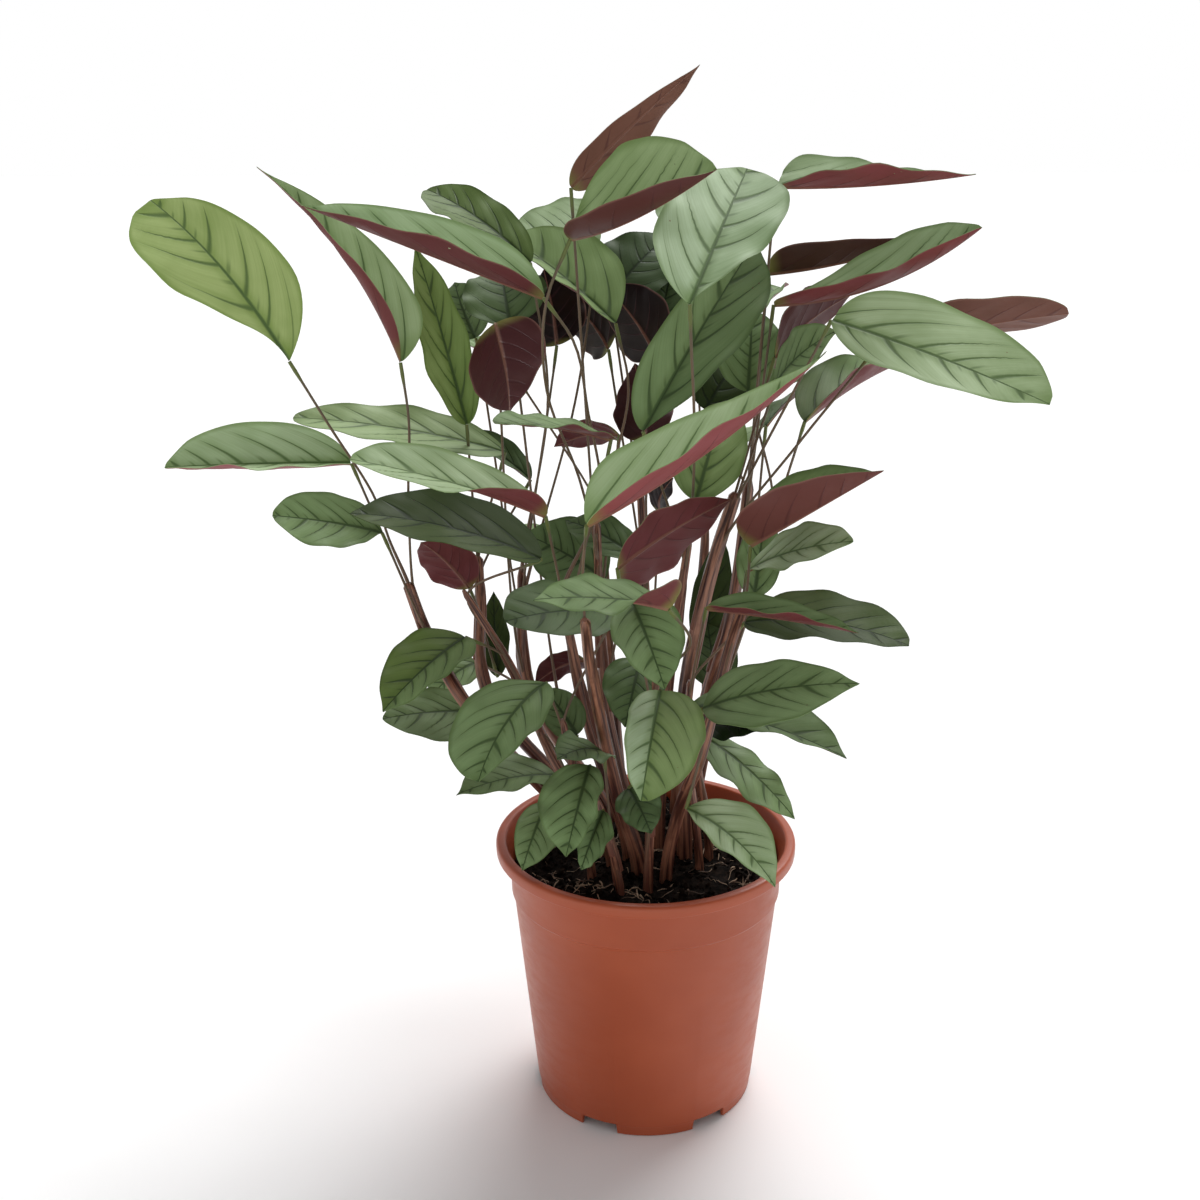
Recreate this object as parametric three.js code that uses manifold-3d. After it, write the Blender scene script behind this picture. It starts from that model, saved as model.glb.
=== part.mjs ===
// A potted prayer plant: a clump of leafy stems that stand in the soil of a plastic nursery pot.
// Millimetres, +Z up. The origin is the middle of the pot's base, and -Y is the front.
import * as THREE from "three";
import { mergeVertices } from "three/addons/utils/BufferGeometryUtils.js";
import Module from "manifold-3d";

const wasm = await Module();
wasm.setup();

// Pot
const POT_HEIGHT = 156;
const LIP_RADIUS = 85;
const LIP_DROP = 7;
const LIP_INNER_RADIUS = 79.5;
const COLLAR_RADIUS = 76.5;
const COLLAR_DROP = 31;
const BODY_TOP_RADIUS = 75.3;
const BASE_RADIUS = 62.5;
const WALL = 1.6;
const FOOT_HEIGHT = 8;
const CENTRE_PAD_RADIUS = 16;
const NOTCH_COUNT = 6;
const NOTCH_WIDTH = 22;
const NOTCH_HEIGHT = 6.5;
const NOTCH_START_DEG = 246;
const DRAIN_COUNT = 6;
const DRAIN_RADIUS = 4;
const DRAIN_CIRCLE = 44;
const POT_SEGMENTS = 40;

// Soil
const SOIL_TOP = 143;
const SOIL_RELIEF = 2;
const SOIL_GAP = 0.3;
const SOIL_SIDE_GAP = 0.45;
const HOLE_DEPTH = 30;
const HOLE_GAP = 0.7;

// Leaves and stems
const BLADE_THICKNESS = 0.8;
const BLADE_STATIONS = [0.025, 0.12, 0.3, 0.52, 0.74, 0.92];
const BELLY = 0.42;
const HEEL = 0.6;
const END = 0.85;
const CUP_END = 0.6;
const DRIP_START = 0.86;
const WAVE_HEIGHT = 1.2;
const WAVE_TURNS = 1.25;
const PETIOLE_RADIUS = 1.1;
const PETIOLE_STEPS = 5;
const WIDE_BLADE = 44;
const PARTING_STEP = 0.1;
const COLLAR_RISE = 6;
const SHEATH_SIDES = 6;

const COLOURS = {
  pot: { color: 0xb4603f, roughness: 0.5, metalness: 0 },
  soil: { color: 0x1d1713, roughness: 0.95, metalness: 0 },
  leaf: { color: 0x8fa67c, roughness: 0.55, metalness: 0 },
};

// A closed surface from a list of points and a list of triangles.
function surface(points, triangles) {
  const geometry = new THREE.BufferGeometry();
  const numbers = points.flatMap((point) => [point.x, point.y, point.z]);
  geometry.setAttribute("position", new THREE.Float32BufferAttribute(numbers, 3));
  geometry.setIndex(triangles.flat());
  return geometry;
}

function toSolid(geometry) {
  const bare = geometry.clone();
  bare.deleteAttribute("normal");
  bare.deleteAttribute("uv");
  const merged = mergeVertices(bare, 1e-4);
  const index = merged.index.array;
  const triVerts = [];
  for (let i = 0; i < index.length; i += 3) {
    const [a, b, c] = index.slice(i, i + 3);
    if (a !== b && b !== c && c !== a) triVerts.push(a, b, c);
  }
  return new wasm.Manifold(
    new wasm.Mesh({
      numProp: 3,
      vertProperties: merged.attributes.position.array,
      triVerts: new Uint32Array(triVerts),
    }),
  );
}

function toMesh(name, solid, look) {
  const mesh = solid.getMesh();
  const geometry = new THREE.BufferGeometry();
  geometry.setAttribute("position", new THREE.BufferAttribute(new Float32Array(mesh.vertProperties), 3));
  geometry.setIndex(new THREE.BufferAttribute(new Uint32Array(mesh.triVerts), 1));
  geometry.computeVertexNormals();
  const made = new THREE.Mesh(geometry, new THREE.MeshStandardMaterial(look));
  made.name = name;
  return made;
}

const cylinder = (radius, length, x, y, z, sides = 16) =>
  toSolid(new THREE.CylinderGeometry(radius, radius, length, sides).rotateX(Math.PI / 2).translate(x, y, z));

// The pot is turned from one profile. Notches cut its foot ring and drain holes cut its floor.
function makePot() {
  const bodyTop = POT_HEIGHT - COLLAR_DROP;
  const lipBottom = POT_HEIGHT - LIP_DROP;
  const profile = [
    [0, 0],
    [CENTRE_PAD_RADIUS, 0],
    [CENTRE_PAD_RADIUS, FOOT_HEIGHT],
    [BASE_RADIUS - WALL, FOOT_HEIGHT],
    [BASE_RADIUS - WALL, 0],
    [BASE_RADIUS, 0],
    [BODY_TOP_RADIUS, bodyTop],
    [COLLAR_RADIUS, bodyTop + 1],
    [COLLAR_RADIUS + 0.5, lipBottom - 1],
    [LIP_RADIUS - 0.8, lipBottom],
    [LIP_RADIUS, lipBottom + 1],
    [LIP_RADIUS, POT_HEIGHT - 2.5],
    [LIP_RADIUS - 0.8, POT_HEIGHT - 0.8],
    [LIP_RADIUS - 2.5, POT_HEIGHT],
    [LIP_INNER_RADIUS + 1, POT_HEIGHT],
    [LIP_INNER_RADIUS, POT_HEIGHT - 1.2],
    [COLLAR_RADIUS + 0.5 - WALL, lipBottom - 2],
    [COLLAR_RADIUS - WALL, bodyTop + 1],
    [BODY_TOP_RADIUS - WALL, bodyTop - 1],
    [BASE_RADIUS + 1 - WALL, FOOT_HEIGHT + WALL],
    [0, FOOT_HEIGHT + WALL],
  ];
  const points = profile.map(([r, z]) => new THREE.Vector2(r, z));
  let pot = toSolid(new THREE.LatheGeometry(points, POT_SEGMENTS).rotateX(Math.PI / 2));
  for (let i = 0; i < NOTCH_COUNT; i++) {
    const angle = THREE.MathUtils.degToRad(NOTCH_START_DEG + (360 / NOTCH_COUNT) * i);
    const notch = new THREE.BoxGeometry(12, NOTCH_WIDTH, 2 * NOTCH_HEIGHT);
    notch.translate(BASE_RADIUS, 0, 0).rotateZ(angle);
    pot = pot.subtract(toSolid(notch));
  }
  for (let i = 0; i < DRAIN_COUNT; i++) {
    const angle = THREE.MathUtils.degToRad((360 / DRAIN_COUNT) * i);
    const x = DRAIN_CIRCLE * Math.cos(angle);
    const y = DRAIN_CIRCLE * Math.sin(angle);
    pot = pot.subtract(cylinder(DRAIN_RADIUS, 6, x, y, FOOT_HEIGHT + WALL / 2, 10));
  }
  return pot;
}

const soilHeight = (x, y) =>
  SOIL_TOP + SOIL_RELIEF * (Math.sin(x / 9 + 1) * Math.cos(y / 11) + 0.4 * Math.sin((x + 2 * y) / 7));

// The soil fills the pot, with an uneven top and a plain hole for each leafy stem.
function makeSoil(stems) {
  const floor = FOOT_HEIGHT + WALL + SOIL_GAP;
  const bodyTop = POT_HEIGHT - COLLAR_DROP;
  const rings = [18, 36, 54, COLLAR_RADIUS - WALL - SOIL_SIDE_GAP];
  const sides = 30;
  const points = [new THREE.Vector3(0, 0, soilHeight(0, 0))];
  const triangles = [];
  const ring = (radius, height) => {
    for (let i = 0; i < sides; i++) {
      const x = radius * Math.cos((2 * Math.PI * i) / sides);
      const y = radius * Math.sin((2 * Math.PI * i) / sides);
      points.push(new THREE.Vector3(x, y, height ?? soilHeight(x, y)));
    }
  };
  rings.forEach((radius) => ring(radius));
  ring(BODY_TOP_RADIUS - WALL - SOIL_SIDE_GAP, bodyTop - 1);
  ring(BASE_RADIUS + 1 - WALL - SOIL_SIDE_GAP, floor);
  points.push(new THREE.Vector3(0, 0, floor));
  const last = points.length - 1;
  const ringCount = rings.length + 2;
  for (let i = 0; i < sides; i++) {
    const j = (i + 1) % sides;
    triangles.push([0, 1 + i, 1 + j]);
    for (let k = 0; k < ringCount - 1; k++) {
      const inner = 1 + k * sides;
      const outer = inner + sides;
      triangles.push([inner + i, outer + i, outer + j], [inner + i, outer + j, inner + j]);
    }
    const bottom = 1 + (ringCount - 1) * sides;
    triangles.push([last, bottom + j, bottom + i]);
  }
  let soil = toSolid(surface(points, triangles));
  for (const { foot, radius } of stems) {
    const hole = cylinder(radius[0] + HOLE_GAP, 2 * HOLE_DEPTH, foot[0], foot[1], SOIL_TOP, 8);
    soil = soil.subtract(hole);
  }
  return soil;
}

// Half width of a blade along its length, as a share of the widest. A low heel makes a round base and a high
// one a wedge. A low end makes a blunt tip and a high one a long point.
function outline(s, belly, heel, end) {
  if (s < belly) return Math.pow(1 - Math.pow((belly - s) / belly, 2.3), heel);
  const x = (s - belly) / (1 - belly);
  const drip = 1 - 0.45 * Math.min(end, 1) * THREE.MathUtils.smoothstep(s, DRIP_START, 1);
  return Math.pow(1 - Math.pow(x, 1.9), end) * drip;
}

// A place on a blade: s runs from base to tip, t from one margin over the midrib to the other.
function bladeFrame({ base, tip, face, bow, bend }) {
  const start = new THREE.Vector3(...base);
  const end = new THREE.Vector3(...tip);
  const along = end.clone().sub(start).normalize();
  const normal = new THREE.Vector3(...face);
  normal.addScaledVector(along, -normal.dot(along)).normalize();
  const side = along.clone().cross(normal);
  const middle = start.clone().add(end).multiplyScalar(0.5);
  middle.addScaledVector(normal, 2 * bow).addScaledVector(side, 2 * bend);
  return { midrib: new THREE.QuadraticBezierCurve3(start, middle, end), side };
}

function bladeRow(leaf, frame, s, cells) {
  const tangent = frame.midrib.getTangent(s);
  const side = frame.side.clone().addScaledVector(tangent, -frame.side.dot(tangent)).normalize();
  const up = side.clone().cross(tangent);
  const closing = 1 - THREE.MathUtils.smoothstep(s, 0, CUP_END);
  const wave = Math.sin(2 * Math.PI * (WAVE_TURNS * s + leaf.wave));
  const middle = { place: frame.midrib.getPoint(s), up };
  const sides = [-1, 1].map((sign, index) => {
    const share = leaf.halves[index] * outline(s, leaf.belly[index], leaf.heel[index], leaf.end[index]);
    const half = (leaf.width / 2) * share;
    const fold = leaf.fold[index] + leaf.cup[index] * closing;
    const row = [];
    const place = middle.place.clone();
    for (let i = 1; i <= cells; i++) {
      const turn = THREE.MathUtils.degToRad(fold + (leaf.curl * (i - 0.5)) / cells);
      const out = side.clone().multiplyScalar(sign * Math.cos(turn)).addScaledVector(up, Math.sin(turn));
      const lift = up.clone().multiplyScalar(Math.cos(turn)).addScaledVector(side, -sign * Math.sin(turn));
      place.addScaledVector(out, half / cells);
      const ripple = WAVE_HEIGHT * wave * sign * (i / cells) ** 2 * Math.sin(Math.PI * s);
      row.push({ place: place.clone().addScaledVector(lift, ripple), up: lift });
    }
    return row;
  });
  return [...sides[0].reverse(), middle, ...sides[1]];
}

// The rings of a petiole, first to last, turned so that the last one lies level with the blade's base.
function petioleRings(route, up) {
  const rings = [];
  let top = up.clone();
  for (let i = PETIOLE_STEPS; i >= 0; i--) {
    const tangent = route.getTangentAt(i / PETIOLE_STEPS);
    top = top.clone().addScaledVector(tangent, -top.dot(tangent)).normalize();
    const right = tangent.clone().cross(top);
    const centre = route.getPointAt(i / PETIOLE_STEPS);
    const turns = [top, right, top.clone().negate(), right.clone().negate()];
    rings.unshift(turns.map((turn) => centre.clone().addScaledVector(turn, PETIOLE_RADIUS)));
  }
  return rings;
}

// A petiole with its blade, one closed surface. The blade's two faces are split into like triangles.
function makeLeaf(leaf, start) {
  const frame = bladeFrame(leaf);
  const cells = leaf.width >= WIDE_BLADE ? 2 : 1;
  const across = 2 * cells + 1;
  const rows = BLADE_STATIONS.map((s) => bladeRow(leaf, frame, s, cells));
  const route = spline([start, ...leaf.petiole, frame.midrib.getPoint(0)]);
  const rings = petioleRings(route, rows[0][cells].up);
  const points = rings.flat();
  const triangles = [[0, 2, 1], [0, 3, 2]];
  for (let i = 0; i < PETIOLE_STEPS; i++) {
    for (let j = 0; j < 4; j++) {
      const a = 4 * i + j;
      const b = 4 * i + ((j + 1) % 4);
      triangles.push([a, b, b + 4], [a, b + 4, a + 4]);
    }
  }
  const [top, right, below, left] = [0, 1, 2, 3].map((j) => 4 * PETIOLE_STEPS + j);
  const first = points.length;
  const last = { place: frame.midrib.getPoint(1), up: rows.at(-1)[cells].up };
  const grid = [...rows.flat(), last];
  for (const sign of [1, -1]) {
    const shift = (sign * BLADE_THICKNESS) / 2;
    for (const { place, up } of grid) points.push(place.clone().addScaledVector(up, shift));
  }
  const upper = (row, column) => first + row * across + column;
  const lower = (row, column) => upper(row, column) + grid.length;
  const end = rows.length - 1;
  const tip = [first + grid.length - 1, first + 2 * grid.length - 1];
  for (let j = 0; j < across - 1; j++) {
    triangles.push([top, upper(0, j + 1), upper(0, j)], [below, lower(0, j), lower(0, j + 1)]);
    for (let i = 0; i < end; i++) {
      triangles.push([upper(i, j), upper(i, j + 1), upper(i + 1, j + 1)]);
      triangles.push([upper(i, j), upper(i + 1, j + 1), upper(i + 1, j)]);
      triangles.push([lower(i, j), lower(i + 1, j + 1), lower(i, j + 1)]);
      triangles.push([lower(i, j), lower(i + 1, j), lower(i + 1, j + 1)]);
    }
    triangles.push([upper(end, j), upper(end, j + 1), tip[0]], [lower(end, j), tip[1], lower(end, j + 1)]);
  }
  for (const [side, column] of [[right, across - 1], [left, 0]]) {
    const strip = [[top, upper(0, column), side], [side, upper(0, column), lower(0, column)]];
    strip.push([side, lower(0, column), below]);
    for (let i = 0; i < end; i++) {
      strip.push([upper(i, column), upper(i + 1, column), lower(i, column)]);
      strip.push([lower(i, column), upper(i + 1, column), lower(i + 1, column)]);
    }
    strip.push([upper(end, column), tip[0], lower(end, column)], [lower(end, column), tip[0], tip[1]]);
    triangles.push(...(side === right ? strip.map((corners) => corners.reverse()) : strip));
  }
  return toSolid(surface(points, triangles));
}

// A tapered round tube along a curve, with a ring at each stop and both ends closed.
function makeTube(curve, radii, stops, sides) {
  const points = [];
  const triangles = [];
  let top = new THREE.Vector3(1, 0, 0);
  stops.forEach((stop, i) => {
    const centre = curve.getPoint(stop);
    const tangent = curve.getTangent(stop);
    top = top.clone().addScaledVector(tangent, -top.dot(tangent)).normalize();
    const right = tangent.clone().cross(top);
    const radius = THREE.MathUtils.lerp(radii[0], radii[1], i / (stops.length - 1));
    for (let j = 0; j < sides; j++) {
      const turn = (2 * Math.PI * j) / sides;
      const point = centre.clone().addScaledVector(top, radius * Math.cos(turn));
      points.push(point.addScaledVector(right, radius * Math.sin(turn)));
    }
  });
  const last = (stops.length - 1) * sides;
  for (let j = 0; j < sides; j++) {
    const k = (j + 1) % sides;
    for (let a = 0; a < last; a += sides) {
      const b = a + sides;
      triangles.push([a + j, a + k, b + k], [a + j, b + k, b + j]);
    }
  }
  for (let j = 1; j < sides - 1; j++) triangles.push([0, j + 1, j], [last, last + j, last + j + 1]);
  return toSolid(surface(points, triangles));
}

function spline(points) {
  const places = points.map((point) => (point.isVector3 ? point : new THREE.Vector3(...point)));
  return new THREE.CatmullRomCurve3(places, false, "centripetal");
}

// A leafy stem: a sheath out of the soil, and leaves whose petioles part from it one above the other.
function makeLeafyStem({ foot, path, radius, leaves }) {
  const root = [foot[0], foot[1], SOIL_TOP - HOLE_DEPTH + 4];
  const collar = [foot[0], foot[1], SOIL_TOP + COLLAR_RISE];
  const axis = spline([root, collar, ...path]);
  const spans = path.length + 1;
  const stops = [0, 1 / spans];
  for (let i = 3; i <= 2 * spans; i++) stops.push(i / (2 * spans));
  let stem = makeTube(axis, radius, stops, SHEATH_SIDES);
  leaves.forEach((leaf, i) => {
    const start = axis.getPoint(leaf.from ?? 0.98 - PARTING_STEP * i);
    stem = stem.add(makeLeaf(leaf, start));
  });
  return stem;
}

// A leaf: where its blade starts and ends, its width, and the way its top face looks. Its midrib bows
// towards that face, and its halves fold up from the midrib in degrees, by more near the petiole where they
// are cupped. Each half has its own share of the width and its own outline. The petiole passes the points
// listed.
function leaf(base, tip, width, face, shape = {}) {
  const plain = { bow: 4, bend: 0, curl: 0, fold: [8, 8], cup: [0, 0], halves: [1, 1], petiole: [] };
  const edge = { belly: [BELLY, BELLY], heel: [HEEL, HEEL], end: [END, END] };
  return { base, tip, width, face, wave: (base[0] + base[2]) / 37, ...plain, ...edge, ...shape };
}

const LEAFY_STEMS = [
  {
    name: "leafy_stem_01",
    foot: [-28, 5],
    path: [[-60, 5, 184], [-98, -43, 258], [-121, -5, 283], [-129, -2, 306]],
    radius: [3.6, 3],
    leaves: [
      leaf([-181, -22, 429], [-257, 18, 506], 56, [0.15, -1, 0.5], {
        bow: 8, fold: [10, 8], bend: 4, belly: [0.72, 0.36], heel: [2.2, 1], end: [0.3, 0.7],
        petiole: [[-138, -2, 330], [-144, -7, 355], [-163, -17, 394]] }),
      leaf([-126, -13, 427], [-204, 32, 522], 43, [0.2, -0.75, 0.9], {
        bow: 5, fold: [70, 12], bend: 7, halves: [0.5, 1], belly: [0.3, 0.2], heel: [1, 0.8],
        end: [0.8, 1.4], cup: [60, 0], petiole: [[-125, -13, 355], [-123, -13, 397]] }),
      leaf([-157, 2, 371], [-251, -18, 373], 46, [0, -0.45, 0.9], {
        bow: 1, fold: [36, 44], belly: [0.5, 0.5], end: [0.6, 0.6] }),
      leaf([-141, -6, 335], [-188, -51, 356], 34, [-0.1, -0.75, 0.65], {
        bow: 2, fold: [6, 14], belly: [0.62, 0.45], heel: [1.3, 0.6], end: [0.5, 0.5] }),
    ],
  },
  {
    name: "leafy_stem_02",
    foot: [-30, 25],
    path: [[-89, 5, 241], [-93, 23, 288], [-94, 29, 312]],
    radius: [4, 2.5],
    leaves: [
      leaf([-79, 44, 368], [-193, 29, 390], 46, [0, -0.28, 0.96], {
        fold: [8, 18], halves: [1.05, 0.78], end: [0.45, 0.45] }),
      leaf([-67, 70, 346], [-106, 70, 374], 24, [0, -0.3, 1], {
        bow: 2, fold: [25, 25], end: [0.6, 0.6] }),
      leaf([-99, 37, 385], [-122, 27, 482], 29, [0.3, -0.85, 0.2], {
        bow: 3, fold: [24, 34], halves: [1.05, 1], belly: [0.5, 0.42] }),
      leaf([-85, 30, 240], [-88, 50, 285], 16, [0, -0.8, 0.5]),
    ],
  },
  {
    name: "leafy_stem_03",
    foot: [-22, 40],
    path: [[-69, 46, 226], [-73, 64, 295]],
    radius: [4.4, 2.6],
    leaves: [
      leaf([-60, 5, 475], [-118, 50, 509], 30, [0.1, -0.6, 0.8], {
        bow: 5, fold: [20, 15], halves: [1.25, 1], belly: [0.5, 0.5], end: [0.5, 0.5],
        petiole: [[-54, 35, 399]] }),
      leaf([-28, 80, 475], [-81, 90, 482], 44, [0, -0.5, 0.85], {
        halves: [0.4, 1.6], belly: [0.32, 0.32], petiole: [[-40, 58, 395]] }),
      leaf([-51, 73, 423], [-59, 93, 463], 38, [0, 0.8, 0.5]),
      leaf([-80, 17, 443], [-69, -33, 405], 47, [0, 0.8, 0.3], {
        fold: [10, 10], belly: [0.32, 0.32], heel: [0.38, 0.38], end: [1.1, 1.1] }),
      leaf([-99, 95, 424], [-112, 110, 454], 30, [-0.3, -0.7, 0.5]),
      leaf([-73, 27, 440], [-81, 67, 466], 46, [0, -0.8, 0.6]),
      leaf([-35, 39, 247], [-65, 45, 230], 22, [0, 0.85, 0.5]),
    ],
  },
  {
    name: "leafy_stem_04",
    foot: [-20, -12],
    path: [[-51, -15, 209], [-72, -18, 263], [-98, -11, 305]],
    radius: [3.3, 1.6],
    leaves: [
      leaf([-54, -35, 329], [-152, -35, 353], 48, [0, -0.3, 0.95], {
        bow: 6, fold: [10, 10], halves: [0.85, 1.15], end: [0.7, 0.7] }),
      leaf([-98, 17, 297], [-121, -3, 329], 30, [0, 0.9, 0.3]),
      leaf([-96, -25, 283], [-133, -75, 260], 42, [-0.1, -0.6, 0.8], { fold: [25, 10] }),
      leaf([-96, 29, 249], [-122, 14, 232], 30, [0, -0.3, 0.9]),
      leaf([-89, 2, 229], [-140, -38, 241], 36, [0, -0.5, 0.87], {
        bow: 3, fold: [4, 8], halves: [1.45, 0.9], end: [0.6, 0.6] }),
    ],
  },
  {
    name: "leafy_stem_05",
    foot: [-10, -5],
    path: [[-31, -12, 226], [-40, -20, 277], [-45, -25, 309]],
    radius: [4.3, 2],
    leaves: [
      leaf([-51, -34, 462], [-161, -69, 509], 43, [-0.1, -0.4, 0.92], {
        bow: 0, fold: [48, 44], belly: [0.32, 0.32], end: [1, 1],
        petiole: [[-24, -29, 359], [-30, -29, 406], [-36, -31, 439]] }),
      leaf([-50, -58, 358], [-141, -83, 392], 43, [0, -0.2, 1], {
        bow: 3, fold: [14, 32], halves: [1.3, 0.88], belly: [0.5, 0.5], end: [0.45, 0.45],
        cup: [40, 0], petiole: [[-45, -38, 319]] }),
      leaf([-18, -35, 392], [-71, -90, 411], 38, [0, -0.2, 1], {
        bow: 2, fold: [14, 12], halves: [1, 0.8], end: [0.45, 0.45] }),
    ],
  },
  {
    name: "leafy_stem_06",
    foot: [-8, 20],
    path: [[-23, 20, 230], [-26, 15, 291], [-26, -24, 347]],
    radius: [3.5, 2],
    leaves: [
      leaf([-17, 30, 441], [-78, 70, 483], 56, [0, -0.6, 0.8], {
        fold: [45, 8], halves: [0.5, 1.1], heel: [0.6, 0.95], end: [0.6, 0.6],
        petiole: [[-10, 22, 406]] }),
      leaf([-37, -46, 491], [30, -96, 525], 62, [0, -0.55, 0.83], {
        bow: -1, fold: [30, 60], bend: 8, halves: [1.32, 0.66], belly: [0.46, 0.4],
        heel: [0.35, 0.8], end: [0.55, 1],
        petiole: [[-35, -16, 367], [-50, -36, 417], [-49, -46, 461]] }),
      leaf([-39, 8, 512], [26, 32, 571], 34, [-0.2, 0.9, 0.45], {
        bow: 3, fold: [12, 12], halves: [0.85, 0.5], belly: [0.32, 0.2], end: [0.85, 1.2] }),
      leaf([-15, 29, 381], [-52, 49, 370], 25, [0, 0.7, 0.6]),
      leaf([-23, 28, 299], [-68, 26, 326], 47, [0, -0.7, 0.7]),
      leaf([-6, 2, 320], [-45, 28, 333], 25, [0, -0.6, 0.8]),
    ],
  },
  {
    name: "leafy_stem_07",
    foot: [-4, -20],
    path: [[-15, -25, 190], [-23, -45, 240], [-28, -75, 286], [-29, -108, 321]],
    radius: [4.8, 2.5],
    leaves: [
      leaf([-26, -154, 379], [76, -139, 452], 50, [0, -0.1, 1], {
        bow: -5, fold: [42, 41], halves: [1, 0.8], belly: [0.22, 0.22], heel: [0.7, 0.7],
        end: [1.5, 1.5], petiole: [[-30, -101, 336]] }),
    ],
  },
  {
    name: "leafy_stem_08",
    foot: [8, 5],
    path: [[12, 0, 238], [18, -15, 301], [22, -25, 337]],
    radius: [3.5, 2],
    leaves: [
      leaf([19, -93, 466], [48, -18, 522], 58, [0.05, -0.9, 0.5], {
        bow: 3, halves: [1, 0.9], belly: [0.4, 0.76], heel: [0.8, 1.5], end: [0.6, 0.35],
        petiole: [[23, -53, 375], [22, -78, 415], [20, -91, 446]] }),
      leaf([-2, -50, 399], [55, 5, 486], 44, [-0.1, -0.8, 0.6], {
        fold: [10, 10], halves: [0.85, 1.12], belly: [0.35, 0.66], heel: [0.6, 1.2] }),
      leaf([25, -38, 361], [42, 7, 404], 38, [-0.1, -0.8, 0.6]),
    ],
  },
  {
    name: "leafy_stem_09",
    foot: [24, 20],
    path: [[34, 25, 228], [47, 12, 287], [56, 30, 356]],
    radius: [4.4, 3],
    leaves: [
      leaf([63, -6, 513], [154, -41, 520], 46, [0, -0.1, 1], {
        bow: -2, fold: [28, 30], halves: [1.15, 0.95], belly: [0.1, 0.45], heel: [0.3, 1.1],
        end: [1.6, 1.1] }),
      leaf([64, 39, 466], [148, 29, 486], 33, [0, 0, 1], {
        bow: -3, fold: [38, 65], belly: [0.2, 0.2], heel: [0.4, 0.4], end: [1.2, 1.2] }),
      leaf([65, 11, 453], [163, -19, 494], 42, [0, -0.3, 0.95], {
        bow: -10, fold: [32, 50], halves: [1.15, 0.75], belly: [0.62, 0.42], heel: [1.3, 0.4],
        end: [0.6, 0.6] }),
    ],
  },
  {
    name: "leafy_stem_10",
    foot: [22, -2],
    path: [[21, -5, 239], [28, -15, 290], [37, -15, 329], [46, -16, 360]],
    radius: [4.8, 3.2],
    leaves: [
      leaf([66, 9, 426], [110, 54, 453], 44, [-0.2, 0.8, 0.5]),
      leaf([89, -41, 452], [183, -96, 421], 48, [0.25, -0.8, 0.6], {
        bow: 3, halves: [1.2, 0.82], belly: [0.38, 0.38], heel: [0.38, 0.8], end: [0.45, 0.9] }),
      leaf([114, -15, 433], [207, -25, 453], 42, [0, 0.6, 0.75], {
        bow: 3, fold: [10, 10], end: [0.4, 0.4], petiole: [[77, -33, 391]] }),
      leaf([66, -4, 414], [94, -27, 445], 34, [0, -0.6, 0.8]),
    ],
  },
  {
    name: "leafy_stem_11",
    foot: [0, 42],
    path: [[2, 50, 225], [-1, 55, 291], [-4, 50, 351]],
    radius: [3.5, 2],
    leaves: [
      leaf([4, 78, 418], [15, 108, 469], 44, [0, -0.8, 0.5]),
      leaf([-21, 88, 448], [12, 118, 479], 46, [0, -0.7, 0.7]),
      leaf([4, 47, 422], [-23, 67, 456], 43, [0, 0.8, 0.5]),
      leaf([-22, 78, 420], [-49, 99, 448], 42, [0, 0.8, 0.5]),
      leaf([-1, 35, 377], [-7, 60, 415], 34, [0, 0.8, 0.5]),
      leaf([7, 41, 334], [15, 59, 350], 22, [0, 0.8, 0.5]),
    ],
  },
  {
    name: "leafy_stem_12",
    foot: [28, 30],
    path: [[42, 33, 231], [61, 40, 295], [71, 38, 343]],
    radius: [3.5, 2],
    leaves: [
      leaf([55, 44, 402], [58, 69, 444], 38, [0, -0.8, 0.6]),
      leaf([33, 69, 387], [56, 95, 416], 40, [0, -0.7, 0.7]),
      leaf([80, -20, 398], [137, 50, 416], 43, [0, -0.2, 1], {
        bow: 3, fold: [30, 58], petiole: [[73, 5, 359]] }),
      leaf([65, 39, 384], [106, 74, 406], 40, [0, 0.5, 0.8]),
      leaf([40, 38, 231], [36, 68, 260], 30, [0, -0.8, 0.5]),
      leaf([34, 75, 242], [44, 69, 314], 24, [0, -0.8, 0.5], { from: 0.35 }),
      leaf([58, 0, 298], [64, 14, 342], 24, [0, -0.85, 0.5]),
    ],
  },
  {
    name: "leafy_stem_13",
    foot: [12, -28],
    path: [[19, -38, 192], [28, -65, 231], [43, -63, 295], [51, -50, 316]],
    radius: [3.8, 2.2],
    leaves: [
      leaf([51, -64, 345], [109, -99, 391], 46, [0, 0, 1], {
        bow: 0, fold: [40, 48], halves: [1.5, 1.05], belly: [0.28, 0.28], heel: [0.22, 0.5],
        end: [1.3, 0.85] }),
      leaf([52, -31, 322], [99, -81, 352], 34, [0, -0.6, 0.8], {
        halves: [1, 0.72], belly: [0.42, 0.6], heel: [0.6, 1.4], end: [0.6, 0.6] }),
      leaf([21, -71, 206], [65, -104, 179], 43, [0.4, -0.5, 0.8], {
        bow: 7, halves: [1, 0.52], heel: [0.6, 1.2] }),
    ],
  },
  {
    name: "leafy_stem_14",
    foot: [30, -18],
    path: [[22, -28, 226], [23, -40, 265]],
    radius: [2.8, 1.8],
    leaves: [
      leaf([50, -52, 301], [129, -78, 298], 46, [0, -0.27, 0.96], {
        bow: 7, halves: [1.05, 0.9], end: [0.42, 0.8] }),
      leaf([29, -84, 319], [99, -114, 317], 25, [0, -0.1, 1], {
        bow: 1, fold: [30, 38], belly: [0.3, 0.3] }),
    ],
  },
  {
    name: "leafy_stem_15",
    foot: [36, 0],
    path: [[30, -10, 195], [26, -21, 223]],
    radius: [2.8, 1.8],
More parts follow.
